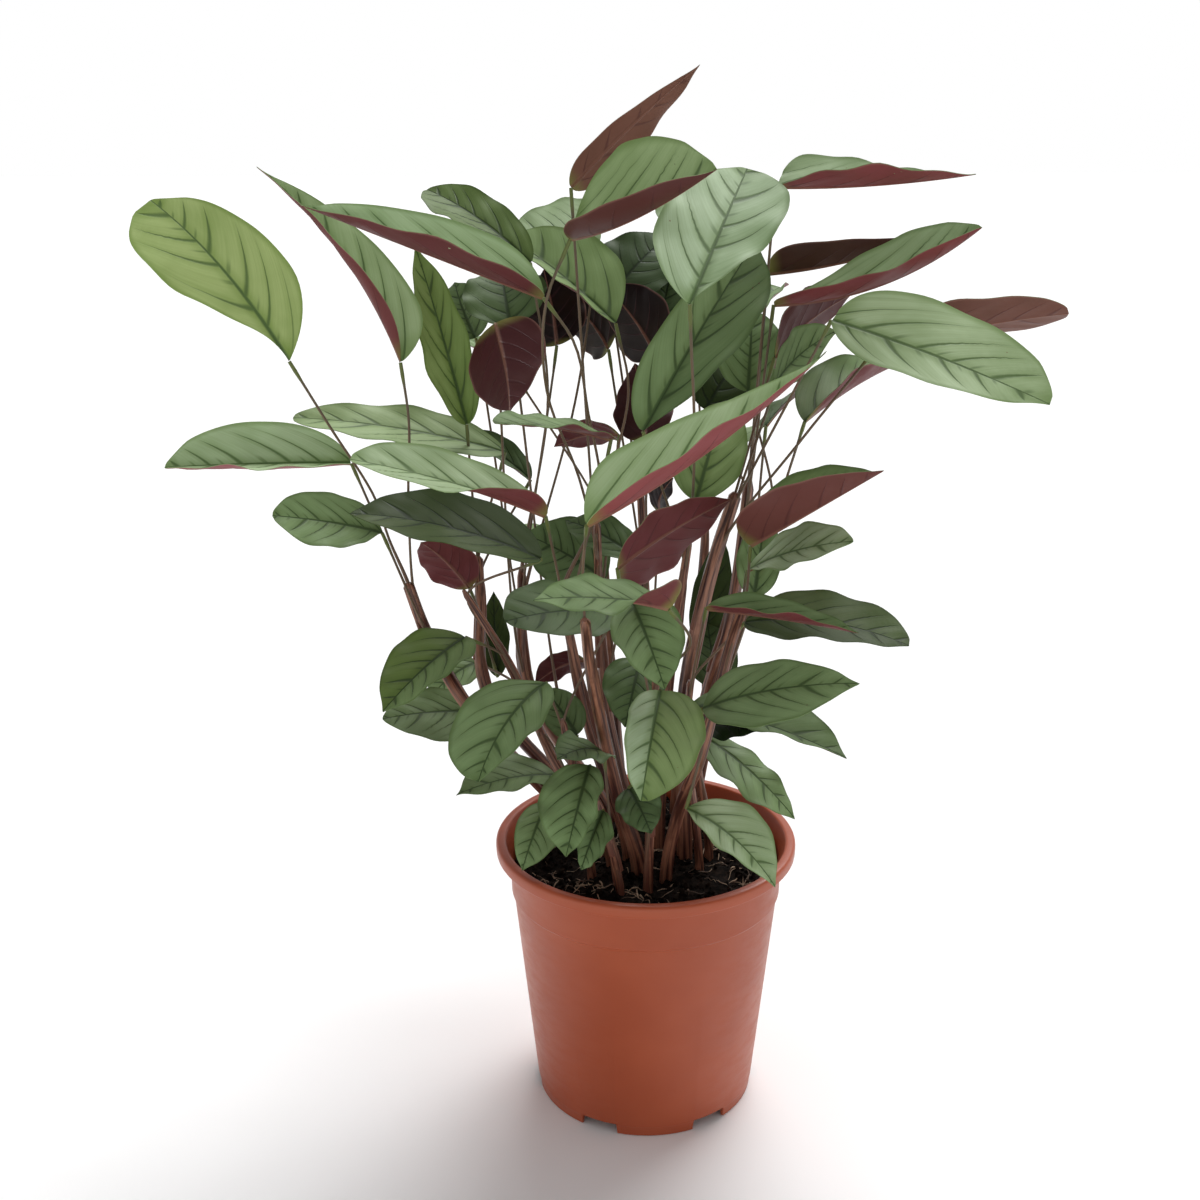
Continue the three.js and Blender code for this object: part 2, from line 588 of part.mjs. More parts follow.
    leaves: [
      leaf([29, -4, 224], [59, -32, 233], 20, [0, -0.7, 0.7], { from: 0.7 }),
      leaf([28, -85, 267], [99, -125, 296], 38, [0, -0.5, 0.87], {
        bow: 5, fold: [8, 6], halves: [1.02, 1.28], belly: [0.22, 0.5], heel: [0.5, 0.9] }),
      leaf([24, -18, 242], [104, -58, 229], 48, [0, -0.2, 1], {
        fold: [18, 14], halves: [1, 0.3], heel: [0.6, 0.4] }),
      leaf([33, -8, 219], [80, -43, 187], 42, [0.3, -0.4, 0.85], { halves: [0.55, 0.95] }),
    ],
  },
  {
    name: "leafy_stem_16",
    foot: [2, -42],
    path: [[3, -48, 206], [5, -50, 247], [5, -50, 280]],
    radius: [2.8, 1.8],
    leaves: [
      leaf([-14, -88, 340], [42, -46, 364], 38, [0, 0.95, 0.4], {
        bow: 3, halves: [1.3, 0.75], petiole: [[2, -41, 288], [-12, -76, 325]] }),
      leaf([10, -137, 336], [-49, -163, 348], 43, [0, -0.12, 1], {
        bow: 3, fold: [-3, 20], halves: [0.92, 0.75], belly: [0.15, 0.42], heel: [0.25, 0.6],
        cup: [72, 0], petiole: [[21, -105, 309]] }),
      leaf([7, -84, 276], [-2, -139, 242], 40, [0, -0.75, 0.65], {
        bow: 6, fold: [15, 15], halves: [1.28, 0.68], belly: [0.5, 0.42], end: [0.5, 0.7] }),
      leaf([-7, -73, 318], [9, -113, 288], 38, [0, -0.75, 0.65], {
        bow: 5, fold: [12, 12], halves: [1, 0.85] }),
      leaf([-9, -60, 212], [3, -76, 194], 24, [0, -0.6, 0.8]),
      leaf([-3, -17, 268], [-11, -47, 241], 34, [0, -0.8, 0.5]),
    ],
  },
  {
    name: "leafy_stem_17",
    foot: [-30, -30],
    path: [[-38, -31, 198], [-44, -41, 243]],
    radius: [2.8, 1.8],
    leaves: [
      leaf([-16, -41, 302], [-68, -91, 314], 44, [0, -0.5, 0.85], {
        halves: [1, 0.95], belly: [0.58, 0.58], end: [0.5, 0.5] }),
      leaf([-52, -47, 266], [-83, -97, 232], 43, [-0.1, -0.75, 0.65], {
        fold: [20, 8], bend: 4, halves: [0.85, 1.12], belly: [0.4, 0.58], heel: [0.6, 1],
        end: [0.8, 0.35] }),
      leaf([-48, -35, 208], [-98, -70, 212], 43, [0, -0.2, 1], { halves: [0.65, 1], end: [1.1, 1.1] }),
      leaf([-37, -29, 229], [-55, -19, 252], 23, [0, -0.7, 0.6]),
    ],
  },
  {
    name: "leafy_stem_18",
    foot: [-14, -45],
    path: [[-25, -48, 200]],
    radius: [2.8, 1.8],
    leaves: [
      leaf([-29, -60, 225], [-40, -95, 190], 36, [0, -0.7, 0.7], {
        fold: [26, 8], halves: [0.68, 1.15], belly: [0.4, 0.5] }),
      leaf([-54, -25, 187], [-66, -53, 160], 30, [0, -0.5, 0.8], { halves: [1, 0.72] }),
      leaf([-22, -72, 205], [-33, -84, 177], 22, [0, -0.7, 0.6], {
        bow: 3, fold: [30, 30], halves: [1, 0.6] }),
      leaf([-22, -48, 227], [-45, -78, 236], 30, [0, -0.3, 0.9]),
    ],
  },
  {
    name: "leafy_stem_19",
    foot: [-14, 58],
    path: [[-20, 75, 220], [-27, 97, 290], [-28, 106, 320]],
    radius: [3.2, 2],
    leaves: [
      leaf([-78, 118, 398], [-118, 195, 408], 46, [0, 0.1, 1], { bow: 5, fold: [25, 25] }),
      leaf([-20, 114, 252], [-30, 205, 236], 46, [0, 0.1, 1], { bow: 8, fold: [15, 15], from: 0.55 }),
      leaf([-55, 105, 290], [-120, 170, 285], 44, [0, 0.1, 1], { bow: 6, fold: [15, 15] }),
    ],
  },
  {
    name: "leafy_stem_20",
    foot: [18, 56],
    path: [[26, 74, 220], [34, 97, 290], [36, 106, 330]],
    radius: [3.2, 2],
    leaves: [
      leaf([45, 120, 420], [85, 205, 440], 46, [0, 0, 1], { fold: [30, 30] }),
      leaf([40, 115, 350], [70, 210, 345], 48, [0, 0.1, 1], { bow: 8, fold: [15, 15] }),
      leaf([25, 118, 470], [22, 185, 510], 42, [0, -0.3, 1], { bow: 3, fold: [20, 20] }),
    ],
  },
];

const plant = new THREE.Group();
plant.add(toMesh("pot", makePot(), COLOURS.pot));
plant.add(toMesh("soil", makeSoil(LEAFY_STEMS), COLOURS.soil));
for (const stem of LEAFY_STEMS) plant.add(toMesh(stem.name, makeLeafyStem(stem), COLOURS.leaf));

export default plant;
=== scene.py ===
"""The looks of a potted prayer plant: fine leaves with veins, ribbed stems, a smooth pot and crumbly peat.

Sizes are in millimetres where a name or comment says so, and turn into metres where a mesh is made.
"""
import math
import random
from types import SimpleNamespace

import bpy
import numpy as np
from mathutils import Matrix, Vector, noise


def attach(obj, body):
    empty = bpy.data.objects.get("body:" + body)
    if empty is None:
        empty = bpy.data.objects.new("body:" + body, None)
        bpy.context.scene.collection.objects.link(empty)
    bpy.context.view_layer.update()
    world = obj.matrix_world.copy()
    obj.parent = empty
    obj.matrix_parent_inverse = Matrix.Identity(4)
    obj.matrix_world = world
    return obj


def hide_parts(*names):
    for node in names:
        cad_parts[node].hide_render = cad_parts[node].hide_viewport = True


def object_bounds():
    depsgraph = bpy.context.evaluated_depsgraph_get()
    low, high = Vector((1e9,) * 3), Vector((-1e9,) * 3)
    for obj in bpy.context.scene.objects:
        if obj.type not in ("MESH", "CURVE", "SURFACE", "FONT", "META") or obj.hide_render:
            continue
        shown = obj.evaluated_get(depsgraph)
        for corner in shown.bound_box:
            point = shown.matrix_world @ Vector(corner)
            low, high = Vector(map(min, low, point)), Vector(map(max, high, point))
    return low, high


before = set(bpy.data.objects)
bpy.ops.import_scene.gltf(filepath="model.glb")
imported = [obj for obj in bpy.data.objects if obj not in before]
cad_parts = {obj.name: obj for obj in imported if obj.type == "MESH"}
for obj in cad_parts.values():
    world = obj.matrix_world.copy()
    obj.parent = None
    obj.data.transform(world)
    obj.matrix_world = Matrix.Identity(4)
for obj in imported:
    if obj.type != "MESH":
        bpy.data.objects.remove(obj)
cad_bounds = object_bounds()

MM = 0.001
TAU = 2 * math.pi

# Pot, millimetres
POT_HEIGHT = 156
LIP_RADIUS = 85
LIP_DROP = 7
LIP_INNER_RADIUS = 79.5
COLLAR_RADIUS = 76.5
COLLAR_DROP = 31
BODY_TOP_RADIUS = 75.3
BASE_RADIUS = 62.5
WALL = 1.6
FOOT_HEIGHT = 8
CENTRE_PAD_RADIUS = 16
NOTCH_COUNT = 6
NOTCH_WIDTH = 22
NOTCH_HEIGHT = 6.5
NOTCH_START_DEG = 246
DRAIN_COUNT = 6
DRAIN_RADIUS = 4
DRAIN_CIRCLE = 44
DRAIN_SIDES = 24
POT_SEGMENTS = 144
CORNER_STEPS = 4

# Soil, millimetres
SOIL_TOP = 143
SOIL_RELIEF = 2
SOIL_ROUGHNESS = 1
SOIL_RADIUS = 74.3
SOIL_GAP = 0.3
SOIL_RINGS = 38
SOIL_SIDES = 120
CRUMB_SEED = 11
CRUMB_COUNT = 1300
CRUMB_SIZES = (0.6, 0.8, 1.0, 1.4, 2.0)
FIBRE_SEED = 23
FIBRE_COUNT = 210
FIBRE_CLUMPS = 16
FIBRE_BENDS = 5
FIBRE_RINGS = 12
FIBRE_SIDES = 5
FIBRE_RADII = (0.22, 0.28, 0.4, 0.55)

# Blades, millimetres
BLADE_THICKNESS = 0.55
BLADE_ROWS = 40
HALF_CELLS = 9
TIP_HALF_THICKNESS = 0.12
DRIP_START = 0.86
CUP_END = 0.6
WAVE_HEIGHT = 1.2
WAVE_TURNS = 1.25
WAVE_SPREAD = 37
FRILL_HEIGHT = 1.1
FRILL_TURNS = 3.3
QUILT_HEIGHT = 0.35
QUILT_FULL_WIDTH = 12
MIDRIB_GROOVE = 0.25
MIDRIB_RELIEF = 0.8
VEINS_PER_BLADE = 5

# Stems, millimetres
ROOT_DEPTH = 26
COLLAR_RISE = 6
SHEATH_RINGS_PER_SPAN = 14
SHEATH_SIDES = 18
FIRST_PARTING = 0.98
PARTING_STEP = 0.1
LEAF_TURN = 2.4
PETIOLE_RADIUS = 0.7
PETIOLE_FLARE = 1.1
PETIOLE_RINGS = 34
PETIOLE_SIDES = 10
PULVINUS_RADIUS = 1.05
PULVINUS_LENGTH = 10

# Stage, metres
CAMERA_PLACE = (0, -0.8, 0.553)
CAMERA_YAW_DEG = -1.8
CAMERA_PITCH_DEG = 17.8
CAMERA_ROLL_DEG = 0.3
FOCAL_SHARE = 1550 / 1200
FLOOR_REACH = 12
FLOOR_DROP = 0.0002
SKY_BAND = (0.05, 0.30)
SKY_LIGHT = (1.0, 0.4)
SUN_PLACE = (0.24, 0.62, 1.0)
SUN_SPREAD_DEG = 42
SUN_STRENGTH = 2.75

# Leaf colours, from a tone of 0 to a tone of 1. The tone is partly the leaf's own lightness and partly
# painted shade, deepest at 0
SILVER = ((0.010, 0.030, 0.006), (0.22, 0.335, 0.155), (0.51, 0.65, 0.45))
GREEN = ((0.012, 0.026, 0.003), (0.19, 0.285, 0.075), (0.43, 0.54, 0.205))
DULL_GREEN = ((0.005, 0.018, 0.003), (0.19, 0.30, 0.105))
VEIN_GREEN = ((0.003, 0.009, 0.002), (0.085, 0.15, 0.045))
WINE = ((0.008, 0.002, 0.002), (0.27, 0.060, 0.065))
BROWN = ((0.010, 0.004, 0.002), (0.26, 0.125, 0.075))


def unit(vector):
    return vector / np.linalg.norm(vector)


def smooth(x, low, high):
    q = np.clip((x - low) / (high - low), 0, 1)
    return q * q * (3 - 2 * q)


# Materials


class Graph:
    """One material's nodes, made with short calls. A value may be a number, a colour or a socket."""

    def __init__(self, name):
        self.material = bpy.data.materials.new(name)
        self.material.use_nodes = True
        self.tree = self.material.node_tree
        self.tree.nodes.clear()

    def node(self, kind, inputs=None, **settings):
        made = self.tree.nodes.new("ShaderNode" + kind)
        for key, value in settings.items():
            setattr(made, key, value)
        for key, value in (inputs or {}).items():
            self.put(made.inputs[key], value)
        return made

    def put(self, socket, value):
        if isinstance(value, bpy.types.NodeSocket):
            self.tree.links.new(value, socket)
        elif isinstance(value, tuple) and len(value) == 3 and socket.type == "RGBA":
            socket.default_value = (*value, 1)
        else:
            socket.default_value = value

    def math(self, operation, a, b=0.0):
        return self.node("Math", {0: a, 1: b}, operation=operation).outputs[0]

    def times(self, a, b):
        return self.math("MULTIPLY", a, b)

    def most(self, value, *others):
        for other in others:
            value = self.math("MAXIMUM", value, other)
        return value

    def vector(self, x, y, z):
        return self.node("CombineXYZ", {0: x, 1: y, 2: z}).outputs[0]

    def step(self, value, low, high, start=0.0, end=1.0):
        """A smooth step from start, where value is low, to end, where it is high."""
        inputs = {"Value": value, "From Min": low, "From Max": high, "To Min": start, "To Max": end}
        return self.node("MapRange", inputs, interpolation_type="SMOOTHSTEP").outputs["Result"]

    def mix(self, factor, a, b, blend="MIX"):
        made = self.node("Mix", {0: factor, 6: a, 7: b}, data_type="RGBA", blend_type=blend)
        return made.outputs[2]

    def field(self, name):
        """The three numbers that a mesh holds under a name."""
        read = self.node("Attribute", attribute_name=name)
        return self.node("SeparateXYZ", {0: read.outputs["Vector"]}).outputs

    def place(self, scale=(1, 1, 1)):
        where = self.node("TexCoord").outputs["Object"]
        return self.node("Mapping", {"Vector": where, "Scale": scale}).outputs[0]

    def noise(self, vector, scale, detail=3.0, roughness=0.55):
        inputs = {"Vector": vector, "Scale": scale, "Detail": detail, "Roughness": roughness}
        return self.node("TexNoise", inputs).outputs["Fac"]

    def bump(self, height, distance, strength=1.0, normal=None):
        inputs = {"Height": height, "Distance": distance, "Strength": strength}
        if normal is not None:
            inputs["Normal"] = normal
        return self.node("Bump", inputs).outputs[0]

    def finish(self, colour, roughness, normal=None, shine=0.5):
        inputs = {"Base Color": colour, "Roughness": roughness, "Specular IOR Level": shine}
        if normal is not None:
            inputs["Normal"] = normal
        shader = self.node("BsdfPrincipled", inputs)
        self.node("OutputMaterial", {"Surface": shader.outputs[0]})
        return self.material


def blade_marks(g):
    """What both faces of a blade read: the place on it, its tone, partly painted shade, its warmth and the
    masks of its veins.

    along and across are shares of the blade, and off is millimetres from the midrib. vein rises by one from
    each side vein to the next, and apart is how far the nearest one is. rib, side and spur are 1 on the
    midrib, on a side vein and on a short mark between two.
    """
    m = SimpleNamespace()
    m.along, off, across = g.field("blade_map")
    m.vein, m.tone, m.warmth = g.field("vein_map")
    m.off, m.across = g.math("ABSOLUTE", off), g.math("ABSOLUTE", across)
    rib_width = g.step(m.along, 0.0, 1.0, 1.15, 0.3)
    m.rib = g.step(g.math("DIVIDE", m.off, rib_width), 0.35, 1.5, 1.0, 0.0)
    turn = g.math("FRACT", g.math("ADD", m.vein, 0.5))
    m.apart = g.math("ABSOLUTE", g.math("SUBTRACT", turn, 0.5))
    vein_width = g.step(m.across, 0.0, 0.8, 0.080, 0.020)
    side = g.step(g.math("DIVIDE", m.apart, vein_width), 0.2, 1.5, 1.0, 0.0)
    m.side = g.times(side, g.step(m.across, 0.5, 0.95, 1.0, 0.0))
    spur = g.step(g.math("SUBTRACT", 0.5, m.apart), 0.02, 0.07, 1.0, 0.0)
    m.spur = g.times(spur, g.step(m.across, 0.08, 0.26, 1.0, 0.0))
    return m


def ground_colour(g, tone, colours):
    """A colour between three: the first at a tone of 0, the deepest painted shade, the second in the middle,
    the last at 1.
    """
    dark, middle, light = colours
    return g.mix(g.step(tone, 0.4, 1.0), g.mix(g.step(tone, 0.0, 0.5), dark, middle), light)


def make_blade_top():
    g = Graph("leaf_top")
    m = blade_marks(g)
    ground = g.mix(m.warmth, ground_colour(g, m.tone, SILVER), ground_colour(g, m.tone, GREEN))
    dull = g.mix(m.warmth, g.mix(m.tone, *DULL_GREEN), (1.0, 1.0, 0.5), "MULTIPLY")
    streaks = g.noise(g.vector(g.times(m.vein, 9.0), m.across, m.along), 1.6, 2.0)
    cloud = g.noise(g.place(), 34.0, 2.0)
    for mask in (g.step(streaks, 0.3, 0.75, 0.0, 0.4), g.step(cloud, 0.40, 0.70, 0.0, 0.5)):
        ground = g.mix(mask, ground, g.mix(0.5, ground, dull))
    # Painted shade: a darker band beside each side vein, where the quilted blade dips
    beside = g.times(g.step(m.apart, 0.0, 0.30, 0.34, 0.0), g.step(m.across, 0.5, 1.0, 1.0, 0.2))
    ends = g.most(g.step(m.along, 0.12, 0.0, 0.0, 0.7), g.step(m.along, 0.90, 1.0, 0.0, 0.6))
    edge = g.most(g.step(m.across, 0.86, 1.0, 0.0, 0.7), ends)
    halo = g.times(g.step(m.off, 0.8, 5.5, 0.6, 0.0), g.step(m.along, 0.0, 1.0, 1.0, 0.4))
    for mask in (beside, edge, halo):
        ground = g.mix(mask, ground, dull)
    lines = g.most(g.times(m.rib, 0.9), g.times(m.side, 0.8), g.times(m.spur, 0.5))
    colour = g.mix(lines, ground, g.mix(m.tone, *VEIN_GREEN))
    normal = g.bump(g.times(g.most(m.rib, m.side), -1.0), 0.00035, 0.7)
    normal = g.bump(streaks, 0.00012, 0.5, normal)
    return g.finish(colour, g.step(cloud, 0.3, 0.7, 0.46, 0.60), normal, 0.2)


def make_blade_under():
    g = Graph("leaf_underside")
    m = blade_marks(g)
    brown_share = g.step(m.warmth, 0.35, 0.9, 0.0, 0.85)
    wine = g.mix(brown_share, g.mix(m.tone, *WINE), g.mix(m.tone, *BROWN))
    cloud = g.noise(g.place(), 26.0, 2.0)
    colour = g.mix(g.step(cloud, 0.45, 0.75, 0.0, 0.6), wine, g.mix(0.4, wine, (0.06, 0.032, 0.014)))
    colour = g.mix(g.times(m.side, 0.45), colour, (0.055, 0.014, 0.016))
    colour = g.mix(g.step(m.across, 0.93, 1.0, 0.0, 0.5), colour, (0.30, 0.15, 0.12))
    colour = g.mix(g.step(m.along, 0.10, 0.0, 0.0, 0.8), colour, (0.20, 0.20, 0.05))
    colour = g.mix(g.times(m.rib, 0.7), colour, (0.24, 0.11, 0.075))
    normal = g.bump(g.math("ADD", m.rib, g.times(m.side, 0.6)), 0.0004, 0.7)
    return g.finish(colour, g.step(cloud, 0.3, 0.7, 0.45, 0.6), normal, 0.2)


def make_petiole():
    """The field stalk_map holds the share of the way up, millimetres to the end and the turn around."""
    g = Graph("petiole")
    along, left, turn = g.field("stalk_map")
    lines = g.noise(g.vector(g.times(turn, 6.0), along, 0.0), 2.2, 2.0)
    colour = g.mix(g.step(along, 0.0, 0.5), (0.15, 0.052, 0.034), (0.115, 0.092, 0.056))
    colour = g.mix(g.step(lines, 0.42, 0.68, 0.0, 0.6), colour, (0.24, 0.125, 0.075))
    colour = g.mix(g.step(left, PULVINUS_LENGTH + 4, PULVINUS_LENGTH - 3), colour, (0.13, 0.155, 0.045))
    return g.finish(colour, 0.45, g.bump(lines, 0.0002, 0.5), 0.3)


def make_sheath():
    g = Graph("stem_sheath")
    along, _, turn = g.field("stalk_map")
    ribs = g.noise(g.vector(g.times(turn, 5.0), g.times(along, 2.5), 0.0), 2.4, 3.0)
    mottle = g.noise(g.place(), 90.0, 2.0)
    # Light golden streaks over dark maroon: partly the stem's own colour, partly painted highlight
    colour = g.mix(g.step(ribs, 0.36, 0.66), (0.045, 0.011, 0.008), (0.36, 0.16, 0.095))
    colour = g.mix(g.step(mottle, 0.45, 0.75, 0.0, 0.5), colour, (0.085, 0.030, 0.014))
    colour = g.mix(g.step(along, 0.12, 0.0, 0.0, 0.8), colour, (0.045, 0.014, 0.012))
    return g.finish(colour, 0.38, g.bump(ribs, 0.0005, 0.7), 0.45)


def make_pot_material():
    g = Graph("pot_plastic")
    mottle = g.noise(g.place(), 14.0, 3.0)
    grain = g.noise(g.place(), 900.0, 2.0)
    scuff = g.noise(g.place((1, 1, 3.5)), 60.0, 5.0, 0.7)
    colour = g.mix(g.step(mottle, 0.35, 0.7), (0.38, 0.066, 0.018), (0.43, 0.082, 0.026))
    colour = g.mix(g.step(scuff, 0.62, 0.8, 0.0, 0.28), colour, (0.45, 0.16, 0.10))
    return g.finish(colour, g.step(scuff, 0.35, 0.75, 0.36, 0.5), g.bump(grain, 0.00005, 0.35))


def make_peat():
    g = Graph("peat")
    lumps = g.noise(g.place(), 260.0, 4.0, 0.65)
    fine = g.noise(g.place(), 900.0, 3.0, 0.7)
    colour = g.mix(g.step(lumps, 0.35, 0.75), (0.004, 0.003, 0.0025), (0.026, 0.017, 0.012))
    colour = g.mix(g.step(fine, 0.62, 0.78, 0.0, 0.5), colour, (0.06, 0.036, 0.022))
    return g.finish(colour, 0.95, g.bump(fine, 0.0008, 1.0, g.bump(lumps, 0.0015)), 0.08)


def make_fibre():
    g = Graph("root_fibre")
    shade = g.noise(g.place(), 120.0, 2.0)
    colour = g.mix(g.step(shade, 0.35, 0.65), (0.07, 0.04, 0.022), (0.46, 0.33, 0.22))
    return g.finish(colour, 0.7, g.bump(shade, 0.0003, 0.5))


# Meshes


class Shape:
    """A mesh in the making: points in millimetres, faces, and the numbers that materials read at corners.

    What a waved margin reaches beyond the solids' box is cut back to the box.
    """

    def __init__(self):
        self.points = []
        self.faces = []
        self.slots = []
        self.fields = {"blade_map": [], "vein_map": [], "stalk_map": []}
        self.count = 0

    def add_points(self, points):
        """Adds an array of points and returns the number of the first."""
        first = self.count
        self.points.append(np.asarray(points, float).reshape(-1, 3))
        self.count += len(self.points[-1])
        return first

    def add_face(self, corners, slot, **fields):
        """Adds a face. Each field has three numbers for each corner."""
        self.faces.append(tuple(int(c) for c in corners))
        self.slots.append(slot)
        for name, rows in self.fields.items():
            rows.extend(fields.get(name) or [(0.0, 0.0, 0.0)] * len(corners))

    def make(self, name, materials, sharp_deg=50, fields=True):
        mesh = bpy.data.meshes.new(name)
        inside = np.clip(np.concatenate(self.points) * MM, *cad_bounds)
        mesh.from_pydata(inside.tolist(), [], self.faces)
        mesh.polygons.foreach_set("material_index", self.slots)
        mesh.polygons.foreach_set("use_smooth", [True] * len(self.faces))
        if fields:
            for key, rows in self.fields.items():
                made = mesh.attributes.new(key, "FLOAT_VECTOR", "CORNER")
                made.data.foreach_set("vector", np.asarray(rows, np.float32).ravel())
        for material in materials:
            mesh.materials.append(material)
        mesh.set_sharp_from_angle(angle=math.radians(sharp_deg))
        piece = bpy.data.objects.new(name, mesh)
        bpy.context.scene.collection.objects.link(piece)
        return piece


def curve_point(points, share):
    """A place on the centripetal curve through the points, share running from 0 to 1."""
    points = [np.asarray(p, float) for p in points]
    spans = len(points) - 1
    i = min(int(share * spans), spans - 1)
    w = share * spans - i
    p1, p2 = points[i], points[i + 1]
    p0 = points[i - 1] if i > 0 else 2 * p1 - p2
    p3 = points[i + 2] if i + 2 <= spans else 2 * p2 - p1
    d0, d1, d2 = (max(float(((b - a) ** 2).sum()) ** 0.25, 1e-4) for a, b in ((p0, p1), (p1, p2), (p2, p3)))
    m1 = ((p1 - p0) / d0 - (p2 - p0) / (d0 + d1) + (p2 - p1) / d1) * d1
    m2 = ((p2 - p1) / d1 - (p3 - p1) / (d1 + d2) + (p3 - p2) / d2) * d1
    return p1 + m1 * w + (3 * (p2 - p1) - 2 * m1 - m2) * w**2 + (2 * (p1 - p2) + m1 + m2) * w**3


def curve_even(points, count):
    """Places at even distances along the curve, with its length."""
    fine = np.array([curve_point(points, u) for u in np.linspace(0, 1, 12 * (len(points) - 1) + 1)])
    travelled = np.concatenate([[0], np.cumsum(np.linalg.norm(np.diff(fine, axis=0), axis=1))])
    stops = np.linspace(0, travelled[-1], count)
    return np.stack([np.interp(stops, travelled, fine[:, a]) for a in range(3)], 1), travelled[-1]


def add_tube(shape, centres, radii, sides, slot, length, ribs=None):
    """A tube through the centres with a radius at each, closed at both ends."""
    count = len(centres)
    rings = []
    top = np.array([0.3, -1.0, 0.1])
    for i, centre in enumerate(centres):
        tangent = unit(centres[min(i + 1, count - 1)] - centres[max(i - 1, 0)])
        top = unit(top - top.dot(tangent) * tangent)
        right = np.cross(tangent, top)
        for j in range(sides):
            turn = TAU * j / sides
            radius = radii[i] * (1 + (ribs(turn, i / (count - 1)) if ribs else 0))
            rings.append(centre + radius * (math.cos(turn) * top + math.sin(turn) * right))
    first = shape.add_points(rings)
    share = np.linspace(0, 1, count)
    left = (1 - share) * length
    for i in range(count - 1):
        for j in range(sides):
            k = (j + 1) % sides
            a, b = first + i * sides, first + (i + 1) * sides
            where = [(share[i], left[i], j / sides), (share[i], left[i], (j + 1) / sides)]
            where += [(share[i + 1], left[i + 1], (j + 1) / sides), (share[i + 1], left[i + 1], j / sides)]
            shape.add_face((a + j, a + k, b + k, b + j), slot, stalk_map=where)
    for i, order in ((0, reversed(range(sides))), (count - 1, range(sides))):
        corners = [first + i * sides + j for j in order]
        shape.add_face(corners, slot, stalk_map=[(share[i], left[i], 0.0)] * sides)


# Leaves and stems


TOP, UNDER, PETIOLE, SHEATH = range(4)

# Shares of a half from the midrib out, and of a blade from base to tip, closest at both ends
ACROSS = [(i / HALF_CELLS) ** 1.2 for i in range(HALF_CELLS + 1)]
ALONG = [0.004 + 0.988 * (0.5 - 0.5 * math.cos(math.pi * i / BLADE_ROWS)) for i in range(BLADE_ROWS + 1)]


def outline(s, belly, heel, end):
    """Half width of a blade along its length, as a share of the widest."""
    if s < belly:
        return (1 - ((belly - s) / belly) ** 2.3) ** heel
    drip = 1 - 0.45 * min(end, 1) * float(smooth(s, DRIP_START, 1))
    return max(1 - ((s - belly) / (1 - belly)) ** 1.9, 0) ** end * drip


def vein_count(s, reach, shift):
    """Rises by one from each side vein to the next. The veins leave the midrib and curve to the tip."""
    phase = s - 0.2 * reach - 0.26 * reach * reach
    return VEINS_PER_BLADE * phase + 1.7 * shift + 0.16 * math.sin(TAU * (1.7 * phase + shift)) + 3


def blade_axes(blade):
    """The three points that set the midrib's curve, and the direction across the blade."""
    base, tip = np.array(blade["base"], float), np.array(blade["tip"], float)
    along = unit(tip - base)
    normal = np.array(blade["face"], float)
    normal = unit(normal - normal.dot(along) * along)
    side = np.cross(along, normal)
    middle = (base + tip) / 2 + 2 * blade["bow"] * normal + 2 * blade["bend"] * side
    return base, middle, tip, side


def half_row(blade, half, s, spine, side, up, shift, lobe):
    """From the midrib to a margin: each point's place and upward direction, and its share and mm across."""
    sign = (-1, 1)[half]
    half_width = blade["width"] / 2
    reach = blade["halves"][half] * outline(s, blade["belly"][half], blade["heel"][half], blade["end"][half])
    fold = blade["fold"][half] + blade["cup"][half] * (1 - float(smooth(s, 0, CUP_END)))
    wave = WAVE_HEIGHT * math.sin(TAU * (WAVE_TURNS * s + blade["wave"]))
    frill = FRILL_HEIGHT * lobe * math.sin(TAU * (FRILL_TURNS * s + shift))
    swell = math.sin(math.pi * s)
    quilted = QUILT_HEIGHT * min(half_width * reach / QUILT_FULL_WIDTH, 1)
    place = spine
    row = []
    for before, t in zip(ACROSS, ACROSS[1:]):
        mid = (t + before) / 2
        turn = math.radians(fold * (0.62 + 0.72 * mid) + blade["curl"] * mid)
        out = sign * math.cos(turn) * side + math.sin(turn) * up
        lift = math.cos(turn) * up - sign * math.sin(turn) * side
        place = place + half_width * reach * (t - before) * out
        quilt = quilted * 4 * t * (1 - t) * math.cos(TAU * vein_count(s, t * reach, shift))
        rise = (wave * sign * t**2 + frill * t**3) * swell - quilt
        row.append((place + lift * rise, lift, sign * t, sign * t * reach * half_width))
    return row


